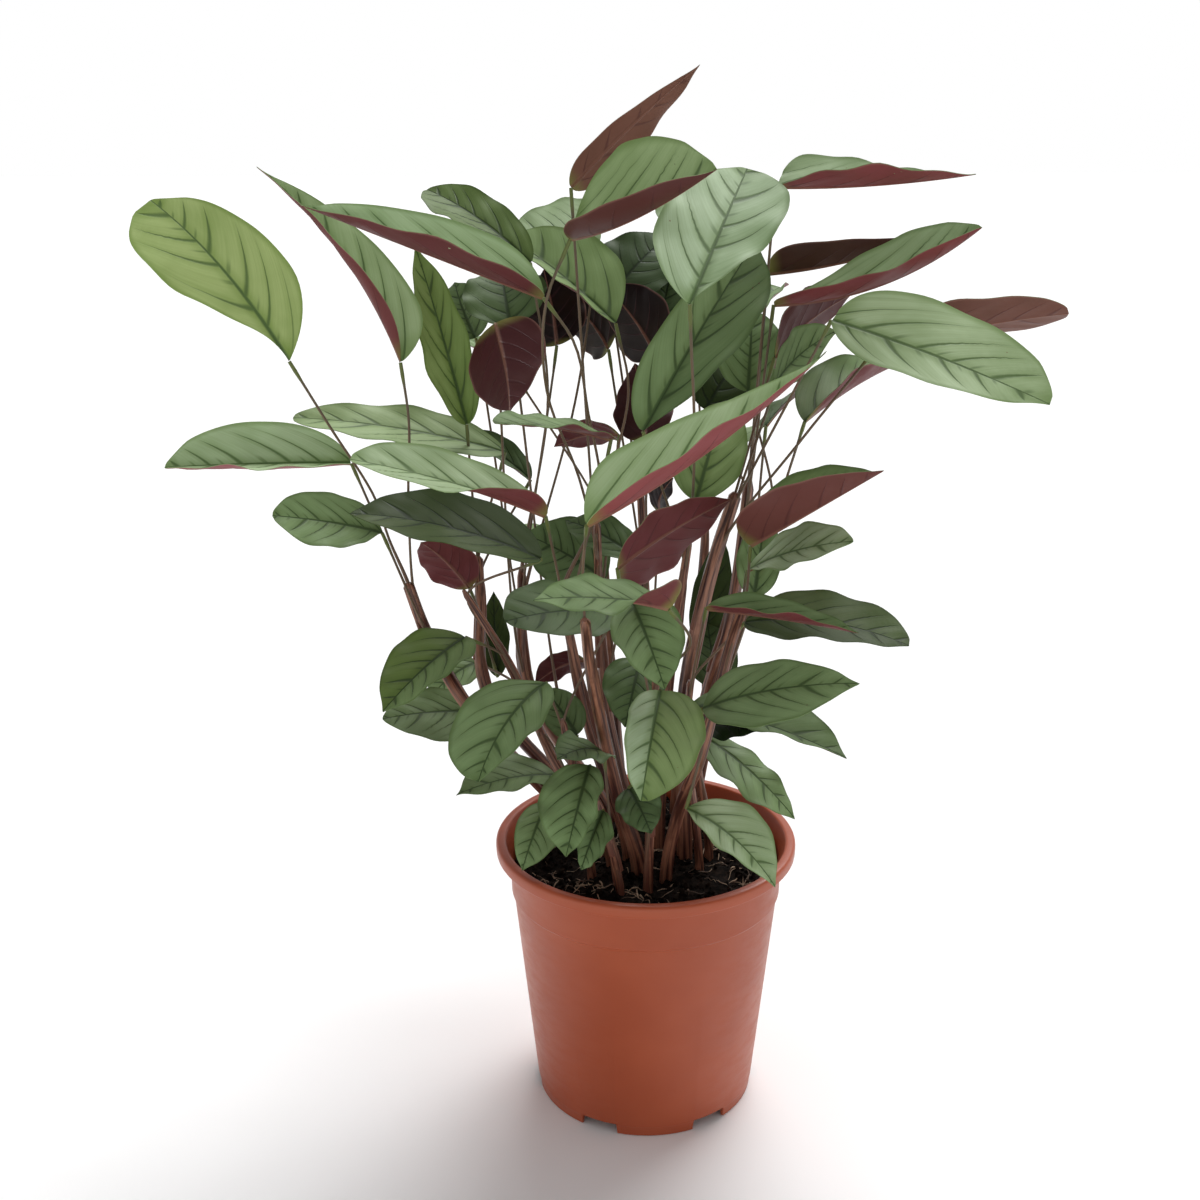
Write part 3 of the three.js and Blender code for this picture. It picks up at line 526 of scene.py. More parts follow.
def add_blade(shape, blade):
    """A blade with its midrib, waved margins and quilted faces."""
    base, middle, tip, side0 = blade_axes(blade)
    draw = random.Random(int(base[0] * 7 + base[2] * 3))
    shifts = [draw.random(), draw.random()]
    lobe = draw.uniform(0.6, 1.5)
    upper, lower, marks = [], [], []
    for s in ALONG:
        spine = (1 - s) ** 2 * base + 2 * s * (1 - s) * middle + s * s * tip
        tangent = unit(2 * (1 - s) * (middle - base) + 2 * s * (tip - middle))
        side = unit(side0 - side0.dot(tangent) * tangent)
        up = np.cross(side, tangent)
        left, right = (half_row(blade, half, s, spine, side, up, shifts[half], lobe) for half in (0, 1))
        centre = (spine - MIDRIB_GROOVE * (1 - s) * up, up, 0.0, 0.0)
        for place, lift, t, off in [*left[::-1], centre, *right]:
            thick = BLADE_THICKNESS / 2 * (1 - 0.5 * t * t)
            upper.append(place + lift * thick)
            lower.append(place - lift * (thick + (MIDRIB_RELIEF * (1 - s) if t == 0 else 0)))
            marks.append((s, off, t))
    across = 2 * HALF_CELLS + 1
    peak = len(upper)
    first = shape.add_points([*upper, tip + TIP_HALF_THICKNESS * up])
    second = shape.add_points([*lower, tip - TIP_HALF_THICKNESS * up])
    marks.append((1.0, 0.0, 0.0))

    def fields(corners, half, tone):
        spots = [marks[c] for c in corners]
        veins = [vein_count(s, abs(off) / (blade["width"] / 2), shifts[half]) for s, off, _ in spots]
        return {"blade_map": spots, "vein_map": [(vein, tone, blade["warmth"][half]) for vein in veins]}

    def add_both(corners, half):
        """A face above, and in turned order the same face below."""
        shape.add_face([first + c for c in corners], TOP, **fields(corners, half, blade["tone"][half]))
        corners = corners[::-1]
        shape.add_face([second + c for c in corners], UNDER, **fields(corners, half, blade["under"]))

    for i in range(BLADE_ROWS):
        for j in range(across - 1):
            a, b = i * across + j, (i + 1) * across + j
            add_both([a, a + 1, b + 1, b], int(j >= HALF_CELLS))
    for j in range(across - 1):
        a = BLADE_ROWS * across + j
        add_both([a, a + 1, peak], int(j >= HALF_CELLS))
    for half, j in enumerate((0, across - 1)):
        for i in range(BLADE_ROWS + 1):
            a = i * across + j
            b = a + across if i < BLADE_ROWS else peak
            rim = [(first, a), (first, b), (second, b), (second, a)]
            rim = rim[::-1] if half else rim
            data = fields([c for _, c in rim], half, blade["tone"][half])
            shape.add_face([start + c for start, c in rim], TOP, **data)
    heel = [second + j for j in range(across)] + [first + j for j in reversed(range(across))]
    blank = [(0.0, 0.0, 0.0)] * len(heel)
    look = [(0.0, blade["tone"][0], blade["warmth"][0])] * len(heel)
    shape.add_face(heel, TOP, blade_map=blank, vein_map=look)


def add_petiole(shape, route, radius_at, parting, turn, blade):
    """A petiole that hugs the sheath, parts from it and ends in the swollen pulvinus at the blade."""
    hug = []
    for back in (0.30, 0.16):
        at = max(parting - back, 0.12)
        beside = 0.75 * radius_at(at) * np.array([math.cos(turn), math.sin(turn), 0])
        hug.append(curve_point(route, at) + beside)
    line = [*hug, curve_point(route, parting), *blade["petiole"], blade["base"]]
    centres, length = curve_even(line, PETIOLE_RINGS)
    radii = []
    for u in np.linspace(0, 1, PETIOLE_RINGS):
        left = (1 - u) * length
        radius = PETIOLE_RADIUS + PETIOLE_FLARE * (1 - float(smooth(u, 0.0, 0.5)))
        bulge = float(smooth(left, PULVINUS_LENGTH + 3, PULVINUS_LENGTH - 3))
        bulge *= 1 - 0.25 * float(smooth(left, 4, 0))
        radii.append(radius + bulge * (PULVINUS_RADIUS - PETIOLE_RADIUS))
    add_tube(shape, centres, radii, PETIOLE_SIDES, PETIOLE, length)


def grow(name, foot, radius, path, leaves):
    """Makes a leafy stem from its foot, its radius there and at the top, its way up and its leaves.

    Each leaf parts from the sheath a step below the one before it, unless it has a parting of its own.
    """
    x, y = foot
    route = [(x, y, SOIL_TOP - ROOT_DEPTH), (x, y, SOIL_TOP + COLLAR_RISE), *path]
    shares = np.linspace(0, 1, SHEATH_RINGS_PER_SPAN * (len(route) - 1))
    centres = np.array([curve_point(route, u) for u in shares])
    phase = x * 0.37 + y * 0.21

    def radius_at(share):
        return radius[0] + (radius[1] - radius[0]) * share

    def ribs(turn, share):
        return 0.10 * math.cos(3 * turn + phase + 1.2 * share) + 0.05 * math.cos(7 * turn - phase)

    radii = [radius_at(u) for u in shares]
    radii[-1] *= 0.5
    length = float(np.linalg.norm(np.diff(centres, axis=0), axis=1).sum())
    shape = Shape()
    add_tube(shape, centres, radii, SHEATH_SIDES, SHEATH, length, ribs)
    for i, blade in enumerate(leaves):
        parting = blade.get("parting", FIRST_PARTING - PARTING_STEP * i)
        add_petiole(shape, route, radius_at, parting, phase + LEAF_TURN * i, blade)
        add_blade(shape, blade)
    piece = shape.make(name + "_fine", LEAFY_MATERIALS)
    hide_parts(name)
    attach(piece, "root")


PLAIN_LEAF = {
    "bow": 4, "bend": 0, "curl": 0, "fold": 8, "cup": 0, "halves": 1, "belly": 0.42, "heel": 0.6, "end": 0.85,
    "petiole": [], "tone": 0.5, "warmth": 0.3,
}
EACH_HALF = ("fold", "cup", "halves", "belly", "heel", "end", "tone", "warmth")


def leaf(base, tip, width, face, **given):
    """All the values of a leaf. One number given for a value of EACH_HALF holds for both halves.

    face is the way that the upper side looks. bow and bend arch the midrib up and sideways, in millimetres.
    fold, curl and cup lift the halves, in degrees. halves is how wide each half is, belly is where it is
    widest, and heel and end are how pointed it gets. petiole is the way from the sheath to the base, and
    parting is where that starts. tone and under are how light the two sides are, partly their own colour
    and partly painted shade, and warmth how yellow.
    """
    values = {"base": base, "tip": tip, "width": width, "face": face, **PLAIN_LEAF, **given}
    for key in EACH_HALF:
        if not isinstance(values[key], tuple):
            values[key] = (values[key], values[key])
    values["wave"] = (base[0] + base[2]) / WAVE_SPREAD
    values.setdefault("under", sum(values["tone"]) / 2)
    return values


LEAFY_MATERIALS = [make_blade_top(), make_blade_under(), make_petiole(), make_sheath()]

# The plant, as in the solids

# The tone and under of each leaf are partly its own colour and partly painted shade: lower for the low, inner
# and hidden leaves, and for the shaded half of a leaf.
grow("leafy_stem_01", (-28, 5), (3.6, 3),
    [(-60, 5, 184), (-98, -43, 258), (-121, -5, 283), (-129, -2, 306)], [
    leaf((-181, -22, 429), (-257, 18, 506), 56, (0.15, -1, 0.5), bow=8, fold=(10, 8), bend=4,
        belly=(0.72, 0.36), heel=(2.2, 1), end=(0.3, 0.7),
        petiole=[(-138, -2, 330), (-144, -7, 355), (-163, -17, 394)], tone=0.92, warmth=1),
    leaf((-126, -13, 427), (-204, 32, 522), 43, (0.2, -0.75, 0.9), bow=5, fold=(70, 12), bend=7,
        halves=(0.5, 1), belly=(0.3, 0.2), heel=(1, 0.8), end=(0.8, 1.4), cup=(60, 0),
        petiole=[(-125, -13, 355), (-123, -13, 397)], tone=0.8, warmth=0.5, under=0.6),
    leaf((-157, 2, 371), (-251, -18, 373), 46, (0, -0.45, 0.9), bow=1, fold=(36, 44), belly=0.5, end=0.6,
        tone=1),
    leaf((-141, -6, 335), (-188, -51, 356), 34, (-0.1, -0.75, 0.65), bow=2, fold=(6, 14), belly=(0.62, 0.45),
        heel=(1.3, 0.6), end=0.5),
])
grow("leafy_stem_02", (-30, 25), (4, 2.5), [(-89, 5, 241), (-93, 23, 288), (-94, 29, 312)], [
    leaf((-79, 44, 368), (-193, 29, 390), 46, (0, -0.28, 0.96), fold=(8, 18), halves=(1.05, 0.78), end=0.45,
        tone=0.66, warmth=0.5, under=0.5),
    leaf((-67, 70, 346), (-106, 70, 374), 24, (0, -0.3, 1), bow=2, fold=25, end=0.6, tone=0.2),
    leaf((-99, 37, 385), (-122, 27, 482), 29, (0.3, -0.85, 0.2), bow=3, fold=(24, 34), halves=(1.05, 1),
        belly=(0.5, 0.42), tone=(0.66, 0.5), warmth=1, under=0.5),
    leaf((-85, 30, 240), (-88, 50, 285), 16, (0, -0.8, 0.5), tone=0.12, warmth=1),
])
grow("leafy_stem_03", (-22, 40), (4.4, 2.6), [(-69, 46, 226), (-73, 64, 295)], [
    leaf((-60, 5, 475), (-118, 50, 509), 30, (0.1, -0.6, 0.8), bow=5, fold=(20, 15), halves=(1.25, 1),
        belly=0.5, end=0.5, petiole=[(-54, 35, 399)], tone=0.3, warmth=0.9),
    leaf((-28, 80, 475), (-81, 90, 482), 44, (0, -0.5, 0.85), halves=(0.4, 1.6), belly=0.32,
        petiole=[(-40, 58, 395)], tone=0.7),
    leaf((-51, 73, 423), (-59, 93, 463), 38, (0, 0.8, 0.5), tone=0),
    leaf((-80, 17, 443), (-69, -33, 405), 47, (0, 0.8, 0.3), fold=10, belly=0.32, heel=0.38, end=1.1,
        tone=0.22),
    leaf((-99, 95, 424), (-112, 110, 454), 30, (-0.3, -0.7, 0.5), tone=0.3),
    leaf((-73, 27, 440), (-81, 67, 466), 46, (0, -0.8, 0.6), tone=0.25),
    leaf((-35, 39, 247), (-65, 45, 230), 22, (0, 0.85, 0.5), tone=0.3),
])
grow("leafy_stem_04", (-20, -12), (3.3, 1.6), [(-51, -15, 209), (-72, -18, 263), (-98, -11, 305)], [
    leaf((-54, -35, 329), (-152, -35, 353), 48, (0, -0.3, 0.95), bow=6, fold=10, halves=(0.85, 1.15),
        end=0.7, tone=(0.2, 0.14), warmth=1),
    leaf((-98, 17, 297), (-121, -3, 329), 30, (0, 0.9, 0.3), tone=0.4, under=0.5),
    leaf((-96, -25, 283), (-133, -75, 260), 42, (-0.1, -0.6, 0.8), fold=(25, 10), tone=(0.46, 0.36),
        warmth=(0.5, 1)),
    leaf((-96, 29, 249), (-122, 14, 232), 30, (0, -0.3, 0.9)),
    leaf((-89, 2, 229), (-140, -38, 241), 36, (0, -0.5, 0.87), bow=3, fold=(4, 8), halves=(1.45, 0.9),
        end=0.6, tone=0.45),
])
grow("leafy_stem_05", (-10, -5), (4.3, 2), [(-31, -12, 226), (-40, -20, 277), (-45, -25, 309)], [
    leaf((-51, -34, 462), (-161, -69, 509), 43, (-0.1, -0.4, 0.92), bow=0, fold=(48, 44), belly=0.32, end=1,
        petiole=[(-24, -29, 359), (-30, -29, 406), (-36, -31, 439)], tone=0.9, under=0.4),
    leaf((-50, -58, 358), (-141, -83, 392), 43, (0, -0.2, 1), bow=3, fold=(14, 32), halves=(1.3, 0.88),
        belly=0.5, end=0.45, cup=(40, 0), petiole=[(-45, -38, 319)], tone=1, under=0.6),
    leaf((-18, -35, 392), (-71, -90, 411), 38, (0, -0.2, 1), bow=2, fold=(14, 12), halves=(1, 0.8), end=0.45),
])
grow("leafy_stem_06", (-8, 20), (3.5, 2), [(-23, 20, 230), (-26, 15, 291), (-26, -24, 347)], [
    leaf((-17, 30, 441), (-78, 70, 483), 56, (0, -0.6, 0.8), fold=(45, 8), halves=(0.5, 1.1),
        heel=(0.6, 0.95), end=0.6, petiole=[(-10, 22, 406)], tone=0.52, warmth=0.6),
    leaf((-37, -46, 491), (30, -96, 525), 62, (0, -0.55, 0.83), bow=-1, fold=(30, 60), bend=8,
        halves=(1.32, 0.66), belly=(0.46, 0.4), heel=(0.35, 0.8), end=(0.55, 1),
        petiole=[(-35, -16, 367), (-50, -36, 417), (-49, -46, 461)], tone=0.7, warmth=0.55, under=0.3),
    leaf((-39, 8, 512), (26, 32, 571), 34, (-0.2, 0.9, 0.45), bow=3, fold=12, halves=(0.85, 0.5),
        belly=(0.32, 0.2), end=(0.85, 1.2), tone=0.45, warmth=0.8, under=0.7),
    leaf((-15, 29, 381), (-52, 49, 370), 25, (0, 0.7, 0.6), tone=0.35),
    leaf((-23, 28, 299), (-68, 26, 326), 47, (0, -0.7, 0.7), tone=0.3),
    leaf((-6, 2, 320), (-45, 28, 333), 25, (0, -0.6, 0.8), tone=0.25),
])
grow("leafy_stem_07", (-4, -20), (4.8, 2.5),
    [(-15, -25, 190), (-23, -45, 240), (-28, -75, 286), (-29, -108, 321)], [
    leaf((-26, -154, 379), (76, -139, 452), 50, (0, -0.1, 1), bow=-5, fold=(42, 41), halves=(1, 0.8),
        belly=0.22, heel=0.7, end=1.5, petiole=[(-30, -101, 336)], tone=1, warmth=0.4, under=0.9),
])
grow("leafy_stem_08", (8, 5), (3.5, 2), [(12, 0, 238), (18, -15, 301), (22, -25, 337)], [
    leaf((19, -93, 466), (48, -18, 522), 58, (0.05, -0.9, 0.5), bow=3, halves=(1, 0.9), belly=(0.4, 0.76),
        heel=(0.8, 1.5), end=(0.6, 0.35), petiole=[(23, -53, 375), (22, -78, 415), (20, -91, 446)],
        tone=(0.82, 0.64), warmth=0.15),
    leaf((-2, -50, 399), (55, 5, 486), 44, (-0.1, -0.8, 0.6), fold=10, halves=(0.85, 1.12),
        belly=(0.35, 0.66), heel=(0.6, 1.2), tone=(0.5, 0.3)),
    leaf((25, -38, 361), (42, 7, 404), 38, (-0.1, -0.8, 0.6), tone=0.55, warmth=0.7),
])
grow("leafy_stem_09", (24, 20), (4.4, 3), [(34, 25, 228), (47, 12, 287), (56, 30, 356)], [
    leaf((63, -6, 513), (154, -41, 520), 46, (0, -0.1, 1), bow=-2, fold=(28, 30), halves=(1.15, 0.95),
        belly=(0.1, 0.45), heel=(0.3, 1.1), end=(1.6, 1.1), tone=0.7),
    leaf((64, 39, 466), (148, 29, 486), 33, (0, 0, 1), bow=-3, fold=(38, 65), belly=0.2, heel=0.4, end=1.2,
        tone=0.2, warmth=0.75),
    leaf((65, 11, 453), (163, -19, 494), 42, (0, -0.3, 0.95), bow=-10, fold=(32, 50), halves=(1.15, 0.75),
        belly=(0.62, 0.42), heel=(1.3, 0.4), end=0.6, tone=0.7),
])
grow("leafy_stem_10", (22, -2), (4.8, 3.2), [(21, -5, 239), (28, -15, 290), (37, -15, 329), (46, -16, 360)], [
    leaf((66, 9, 426), (110, 54, 453), 44, (-0.2, 0.8, 0.5), tone=0.3),
    leaf((89, -41, 452), (183, -96, 421), 48, (0.25, -0.8, 0.6), bow=3, halves=(1.2, 0.82), belly=0.38,
        heel=(0.38, 0.8), end=(0.45, 0.9), tone=(0.86, 0.76), warmth=0.4),
    leaf((114, -15, 433), (207, -25, 453), 42, (0, 0.6, 0.75), bow=3, fold=10, end=0.4,
        petiole=[(77, -33, 391)], tone=0.55, warmth=0.75),
    leaf((66, -4, 414), (94, -27, 445), 34, (0, -0.6, 0.8)),
])
grow("leafy_stem_11", (0, 42), (3.5, 2), [(2, 50, 225), (-1, 55, 291), (-4, 50, 351)], [
    leaf((4, 78, 418), (15, 108, 469), 44, (0, -0.8, 0.5), tone=0.2),
    leaf((-21, 88, 448), (12, 118, 479), 46, (0, -0.7, 0.7), tone=0.15),
    leaf((4, 47, 422), (-23, 67, 456), 43, (0, 0.8, 0.5), tone=0),
    leaf((-22, 78, 420), (-49, 99, 448), 42, (0, 0.8, 0.5), tone=0),
    leaf((-1, 35, 377), (-7, 60, 415), 34, (0, 0.8, 0.5), tone=0.15),
    leaf((7, 41, 334), (15, 59, 350), 22, (0, 0.8, 0.5), tone=0),
])
grow("leafy_stem_12", (28, 30), (3.5, 2), [(42, 33, 231), (61, 40, 295), (71, 38, 343)], [
    leaf((55, 44, 402), (58, 69, 444), 38, (0, -0.8, 0.6), tone=0.45),
    leaf((33, 69, 387), (56, 95, 416), 40, (0, -0.7, 0.7), tone=0.1, warmth=0.9),
    leaf((80, -20, 398), (137, 50, 416), 43, (0, -0.2, 1), bow=3, fold=(30, 58), petiole=[(73, 5, 359)]),
    leaf((65, 39, 384), (106, 74, 406), 40, (0, 0.5, 0.8), tone=0.2),
    leaf((40, 38, 231), (36, 68, 260), 30, (0, -0.8, 0.5), tone=0.2),
    leaf((34, 75, 242), (44, 69, 314), 24, (0, -0.8, 0.5), parting=0.35, tone=0.1, warmth=1),
    leaf((58, 0, 298), (64, 14, 342), 24, (0, -0.85, 0.5), tone=0.4),
])
grow("leafy_stem_13", (12, -28), (3.8, 2.2),
    [(19, -38, 192), (28, -65, 231), (43, -63, 295), (51, -50, 316)], [
    leaf((51, -64, 345), (109, -99, 391), 46, (0, 0, 1), bow=0, fold=(40, 48), halves=(1.5, 1.05),
        belly=0.28, heel=(0.22, 0.5), end=(1.3, 0.85), tone=0.48, warmth=0.6),
    leaf((52, -31, 322), (99, -81, 352), 34, (0, -0.6, 0.8), halves=(1, 0.72), belly=(0.42, 0.6),
        heel=(0.6, 1.4), end=0.6, tone=0.82, warmth=0.25),
    leaf((21, -71, 206), (65, -104, 179), 43, (0.4, -0.5, 0.8), bow=7, halves=(1, 0.52), heel=(0.6, 1.2),
        tone=0.78),
])
grow("leafy_stem_14", (30, -18), (2.8, 1.8), [(22, -28, 226), (23, -40, 265)], [
    leaf((50, -52, 301), (129, -78, 298), 46, (0, -0.27, 0.96), bow=7, halves=(1.05, 0.9), end=(0.42, 0.8),
        tone=(0.24, 0.18), warmth=0.8),
    leaf((29, -84, 319), (99, -114, 317), 25, (0, -0.1, 1), bow=1, fold=(30, 38), belly=0.3),
])
grow("leafy_stem_15", (36, 0), (2.8, 1.8), [(30, -10, 195), (26, -21, 223)], [
    leaf((29, -4, 224), (59, -32, 233), 20, (0, -0.7, 0.7), parting=0.7, tone=0),
    leaf((28, -85, 267), (99, -125, 296), 38, (0, -0.5, 0.87), bow=5, fold=(8, 6), halves=(1.02, 1.28),
        belly=(0.22, 0.5), heel=(0.5, 0.9), tone=0.52),
    leaf((24, -18, 242), (104, -58, 229), 48, (0, -0.2, 1), fold=(18, 14), halves=(1, 0.3), heel=(0.6, 0.4),
        tone=0.35),
    leaf((33, -8, 219), (80, -43, 187), 42, (0.3, -0.4, 0.85), halves=(0.55, 0.95)),
])
grow("leafy_stem_16", (2, -42), (2.8, 1.8), [(3, -48, 206), (5, -50, 247), (5, -50, 280)], [
    leaf((-14, -88, 340), (42, -46, 364), 38, (0, 0.95, 0.4), bow=3, halves=(1.3, 0.75),
        petiole=[(2, -41, 288), (-12, -76, 325)]),
    leaf((10, -137, 336), (-49, -163, 348), 43, (0, -0.12, 1), bow=3, fold=(-3, 20), halves=(0.92, 0.75),
        belly=(0.15, 0.42), heel=(0.25, 0.6), cup=(72, 0), petiole=[(21, -105, 309)]),
    leaf((7, -84, 276), (-2, -139, 242), 40, (0, -0.75, 0.65), bow=6, fold=15, halves=(1.28, 0.68),
        belly=(0.5, 0.42), end=(0.5, 0.7), tone=(0.62, 0.88), warmth=(0.7, 0.2)),
    leaf((-7, -73, 318), (9, -113, 288), 38, (0, -0.75, 0.65), bow=5, fold=12, halves=(1, 0.85),
        tone=(0.44, 0.52)),
    leaf((-9, -60, 212), (3, -76, 194), 24, (0, -0.6, 0.8), tone=0.2),
    leaf((-3, -17, 268), (-11, -47, 241), 34, (0, -0.8, 0.5), tone=0.25),
])
grow("leafy_stem_17", (-30, -30), (2.8, 1.8), [(-38, -31, 198), (-44, -41, 243)], [
    leaf((-16, -41, 302), (-68, -91, 314), 44, (0, -0.5, 0.85), halves=(1, 0.95), belly=0.58, end=0.5,
        tone=0.25),
    leaf((-52, -47, 266), (-83, -97, 232), 43, (-0.1, -0.75, 0.65), fold=(20, 8), bend=4,
        halves=(0.85, 1.12), belly=(0.4, 0.58), heel=(0.6, 1), end=(0.8, 0.35)),
    leaf((-48, -35, 208), (-98, -70, 212), 43, (0, -0.2, 1), halves=(0.65, 1), end=1.1, tone=0.45),
    leaf((-37, -29, 229), (-55, -19, 252), 23, (0, -0.7, 0.6), tone=0.3),
])
grow("leafy_stem_18", (-14, -45), (2.8, 1.8), [(-25, -48, 200)], [
    leaf((-29, -60, 225), (-40, -95, 190), 36, (0, -0.7, 0.7), fold=(26, 8), halves=(0.68, 1.15),
        belly=(0.4, 0.5), tone=0.45),
    leaf((-54, -25, 187), (-66, -53, 160), 30, (0, -0.5, 0.8), halves=(1, 0.72)),
    leaf((-22, -72, 205), (-33, -84, 177), 22, (0, -0.7, 0.6), bow=3, fold=30, halves=(1, 0.6), tone=0.35),
    leaf((-22, -48, 227), (-45, -78, 236), 30, (0, -0.3, 0.9), tone=0.3),
])
grow("leafy_stem_19", (-14, 58), (3.2, 2), [(-20, 75, 220), (-27, 97, 290), (-28, 106, 320)], [
    leaf((-78, 118, 398), (-118, 195, 408), 46, (0, 0.1, 1), bow=5, fold=25),
    leaf((-20, 114, 252), (-30, 205, 236), 46, (0, 0.1, 1), bow=8, fold=15, parting=0.55),
    leaf((-55, 105, 290), (-120, 170, 285), 44, (0, 0.1, 1), bow=6, fold=15),
])
grow("leafy_stem_20", (18, 56), (3.2, 2), [(26, 74, 220), (34, 97, 290), (36, 106, 330)], [
    leaf((45, 120, 420), (85, 205, 440), 46, (0, 0, 1), fold=30),
    leaf((40, 115, 350), (70, 210, 345), 48, (0, 0.1, 1), bow=8, fold=15),
    leaf((25, 118, 470), (22, 185, 510), 42, (0, -0.3, 1), bow=3, fold=20),
])


# Pot


def lathe(shape, profile, angles, cut):
    """Turns a closed profile of (radius, z) about the pot's axis. cut moves the points in a notch."""
    rings = []
    for angle in angles:
        for point in profile:
            radius, z = cut(*point, angle)
            rings.append((radius * math.cos(angle), radius * math.sin(angle), z))
    first = shape.add_points(rings)
    count = len(profile)
    for i in range(len(angles)):
        a, b = first + i * count, first + (i + 1) % len(angles) * count
        for j in range(count):
            n = (j + 1) % count
            shape.add_face([a + j, b + j, b + n, a + n], 0)


def rounded(corners):
    """A profile with arcs at its corners: each corner is (radius, z, rounding)."""
    points = []
    count = len(corners)
    for i, (radius, z, rounding) in enumerate(corners):
        here = np.array([radius, z], float)
        if rounding <= 0:
            points.append(tuple(here))
            continue
        before = np.array(corners[i - 1][:2], float)
        after = np.array(corners[(i + 1) % count][:2], float)
        a = here + unit(before - here) * min(rounding, np.linalg.norm(before - here) * 0.49)
        b = here + unit(after - here) * min(rounding, np.linalg.norm(after - here) * 0.49)
        for k in range(CORNER_STEPS + 1):
            w = k / CORNER_STEPS
            points.append(tuple((1 - w) ** 2 * a + 2 * w * (1 - w) * here + w * w * b))
    return points


def pot_profile():
    """Up the outside of the wall, over the lip, down the inside, and back below the raised floor."""
    body_top = POT_HEIGHT - COLLAR_DROP
    lip_bottom = POT_HEIGHT - LIP_DROP
    return rounded([
        (BASE_RADIUS - WALL, 0, 0),
        (BASE_RADIUS, 0, 0.5),
        (BASE_RADIUS + 0.55, 5.5, 0),
        (BASE_RADIUS + 0.85, 6.2, 0.4),
        (BODY_TOP_RADIUS, body_top - 0.6, 0.4),
        (COLLAR_RADIUS, body_top + 0.6, 0.5),
        (COLLAR_RADIUS + 0.5, lip_bottom, 1.0),
        (LIP_RADIUS - 0.3, lip_bottom, 1.0),
        (LIP_RADIUS, POT_HEIGHT, 2.4),
        (LIP_INNER_RADIUS, POT_HEIGHT, 1.2),
        (COLLAR_RADIUS + 0.5 - WALL, lip_bottom - 2, 1.5),
        (COLLAR_RADIUS - WALL, body_top + 1, 0.8),
        (BODY_TOP_RADIUS - WALL, body_top - 1, 0.8),
        (BASE_RADIUS + 1 - WALL, FOOT_HEIGHT + WALL, 1.5),
        (0.01, FOOT_HEIGHT + WALL, 0),
        (0.01, 0, 0),
        (CENTRE_PAD_RADIUS, 0, 0.6),
        (CENTRE_PAD_RADIUS + 0.5, FOOT_HEIGHT, 0.8),
        (BASE_RADIUS - WALL, FOOT_HEIGHT, 0.8),
    ])


def drill_drains(pot):
    """Cuts the drain holes out of the floor."""
    drills = Shape()
    for i in range(DRAIN_COUNT):
        angle = TAU * i / DRAIN_COUNT
        x, y = DRAIN_CIRCLE * math.cos(angle), DRAIN_CIRCLE * math.sin(angle)
        route = np.array([(x, y, FOOT_HEIGHT + rise) for rise in (-3, 1, 5)], float)
        add_tube(drills, route, [DRAIN_RADIUS] * 3, DRAIN_SIDES, 0, 8)
    drill = drills.make("drill", [], fields=False)
    cutter = pot.modifiers.new("drain_holes", "BOOLEAN")
    cutter.operation, cutter.solver, cutter.object = "DIFFERENCE", "EXACT", drill
    bpy.context.view_layer.update()
    done = bpy.data.meshes.new_from_object(pot.evaluated_get(bpy.context.evaluated_depsgraph_get()))
    pot.modifiers.clear()
    pot.data = done
    done.name = pot.name
    bpy.data.objects.remove(drill)


def make_pot():
    half = NOTCH_WIDTH / 2 / BASE_RADIUS
    middles = [math.radians(NOTCH_START_DEG + 360 / NOTCH_COUNT * i) % TAU for i in range(NOTCH_COUNT)]
    angles = [TAU * i / POT_SEGMENTS for i in range(POT_SEGMENTS)]
    for middle in middles:
        for gap in (-0.012, -0.004, 0.0, 0.002):
            angles += [(middle + sign * (half + gap)) % TAU for sign in (-1, 1)]
    angles.sort()

    def cut(radius, z, angle):
        apart = min(abs((angle - middle + math.pi) % TAU - math.pi) for middle in middles)
        open_height = NOTCH_HEIGHT * float(smooth(apart, half + 0.001, half - 0.010))
        if z >= open_height or radius < BASE_RADIUS - WALL - 1:
            return radius, z
        return radius, open_height - 0.02 * (open_height - z)

    shape = Shape()
    lathe(shape, pot_profile(), angles, cut)
    pot = shape.make("nursery_pot", [make_pot_material()], sharp_deg=38, fields=False)
    drill_drains(pot)
    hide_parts("pot")
    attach(pot, "root")


make_pot()


# Soil


def soil_height(x, y):
    """The low swells of the solid soil, with finer lumps."""
    plain = math.sin(x / 9 + 1) * math.cos(y / 11) + 0.4 * math.sin((x + 2 * y) / 7)
    rough = noise.noise((x / 5, y / 5, 3.1)) + 0.5 * noise.noise((x / 2.2, y / 2.2, 8.7))
    return SOIL_TOP + SOIL_RELIEF * plain + SOIL_ROUGHNESS * rough


def circle(radius):
    """The places of the soil's points on a circle about the pot's axis."""
    turns = [TAU * j / SOIL_SIDES for j in range(SOIL_SIDES)]
    return [(radius * math.cos(turn), radius * math.sin(turn)) for turn in turns]


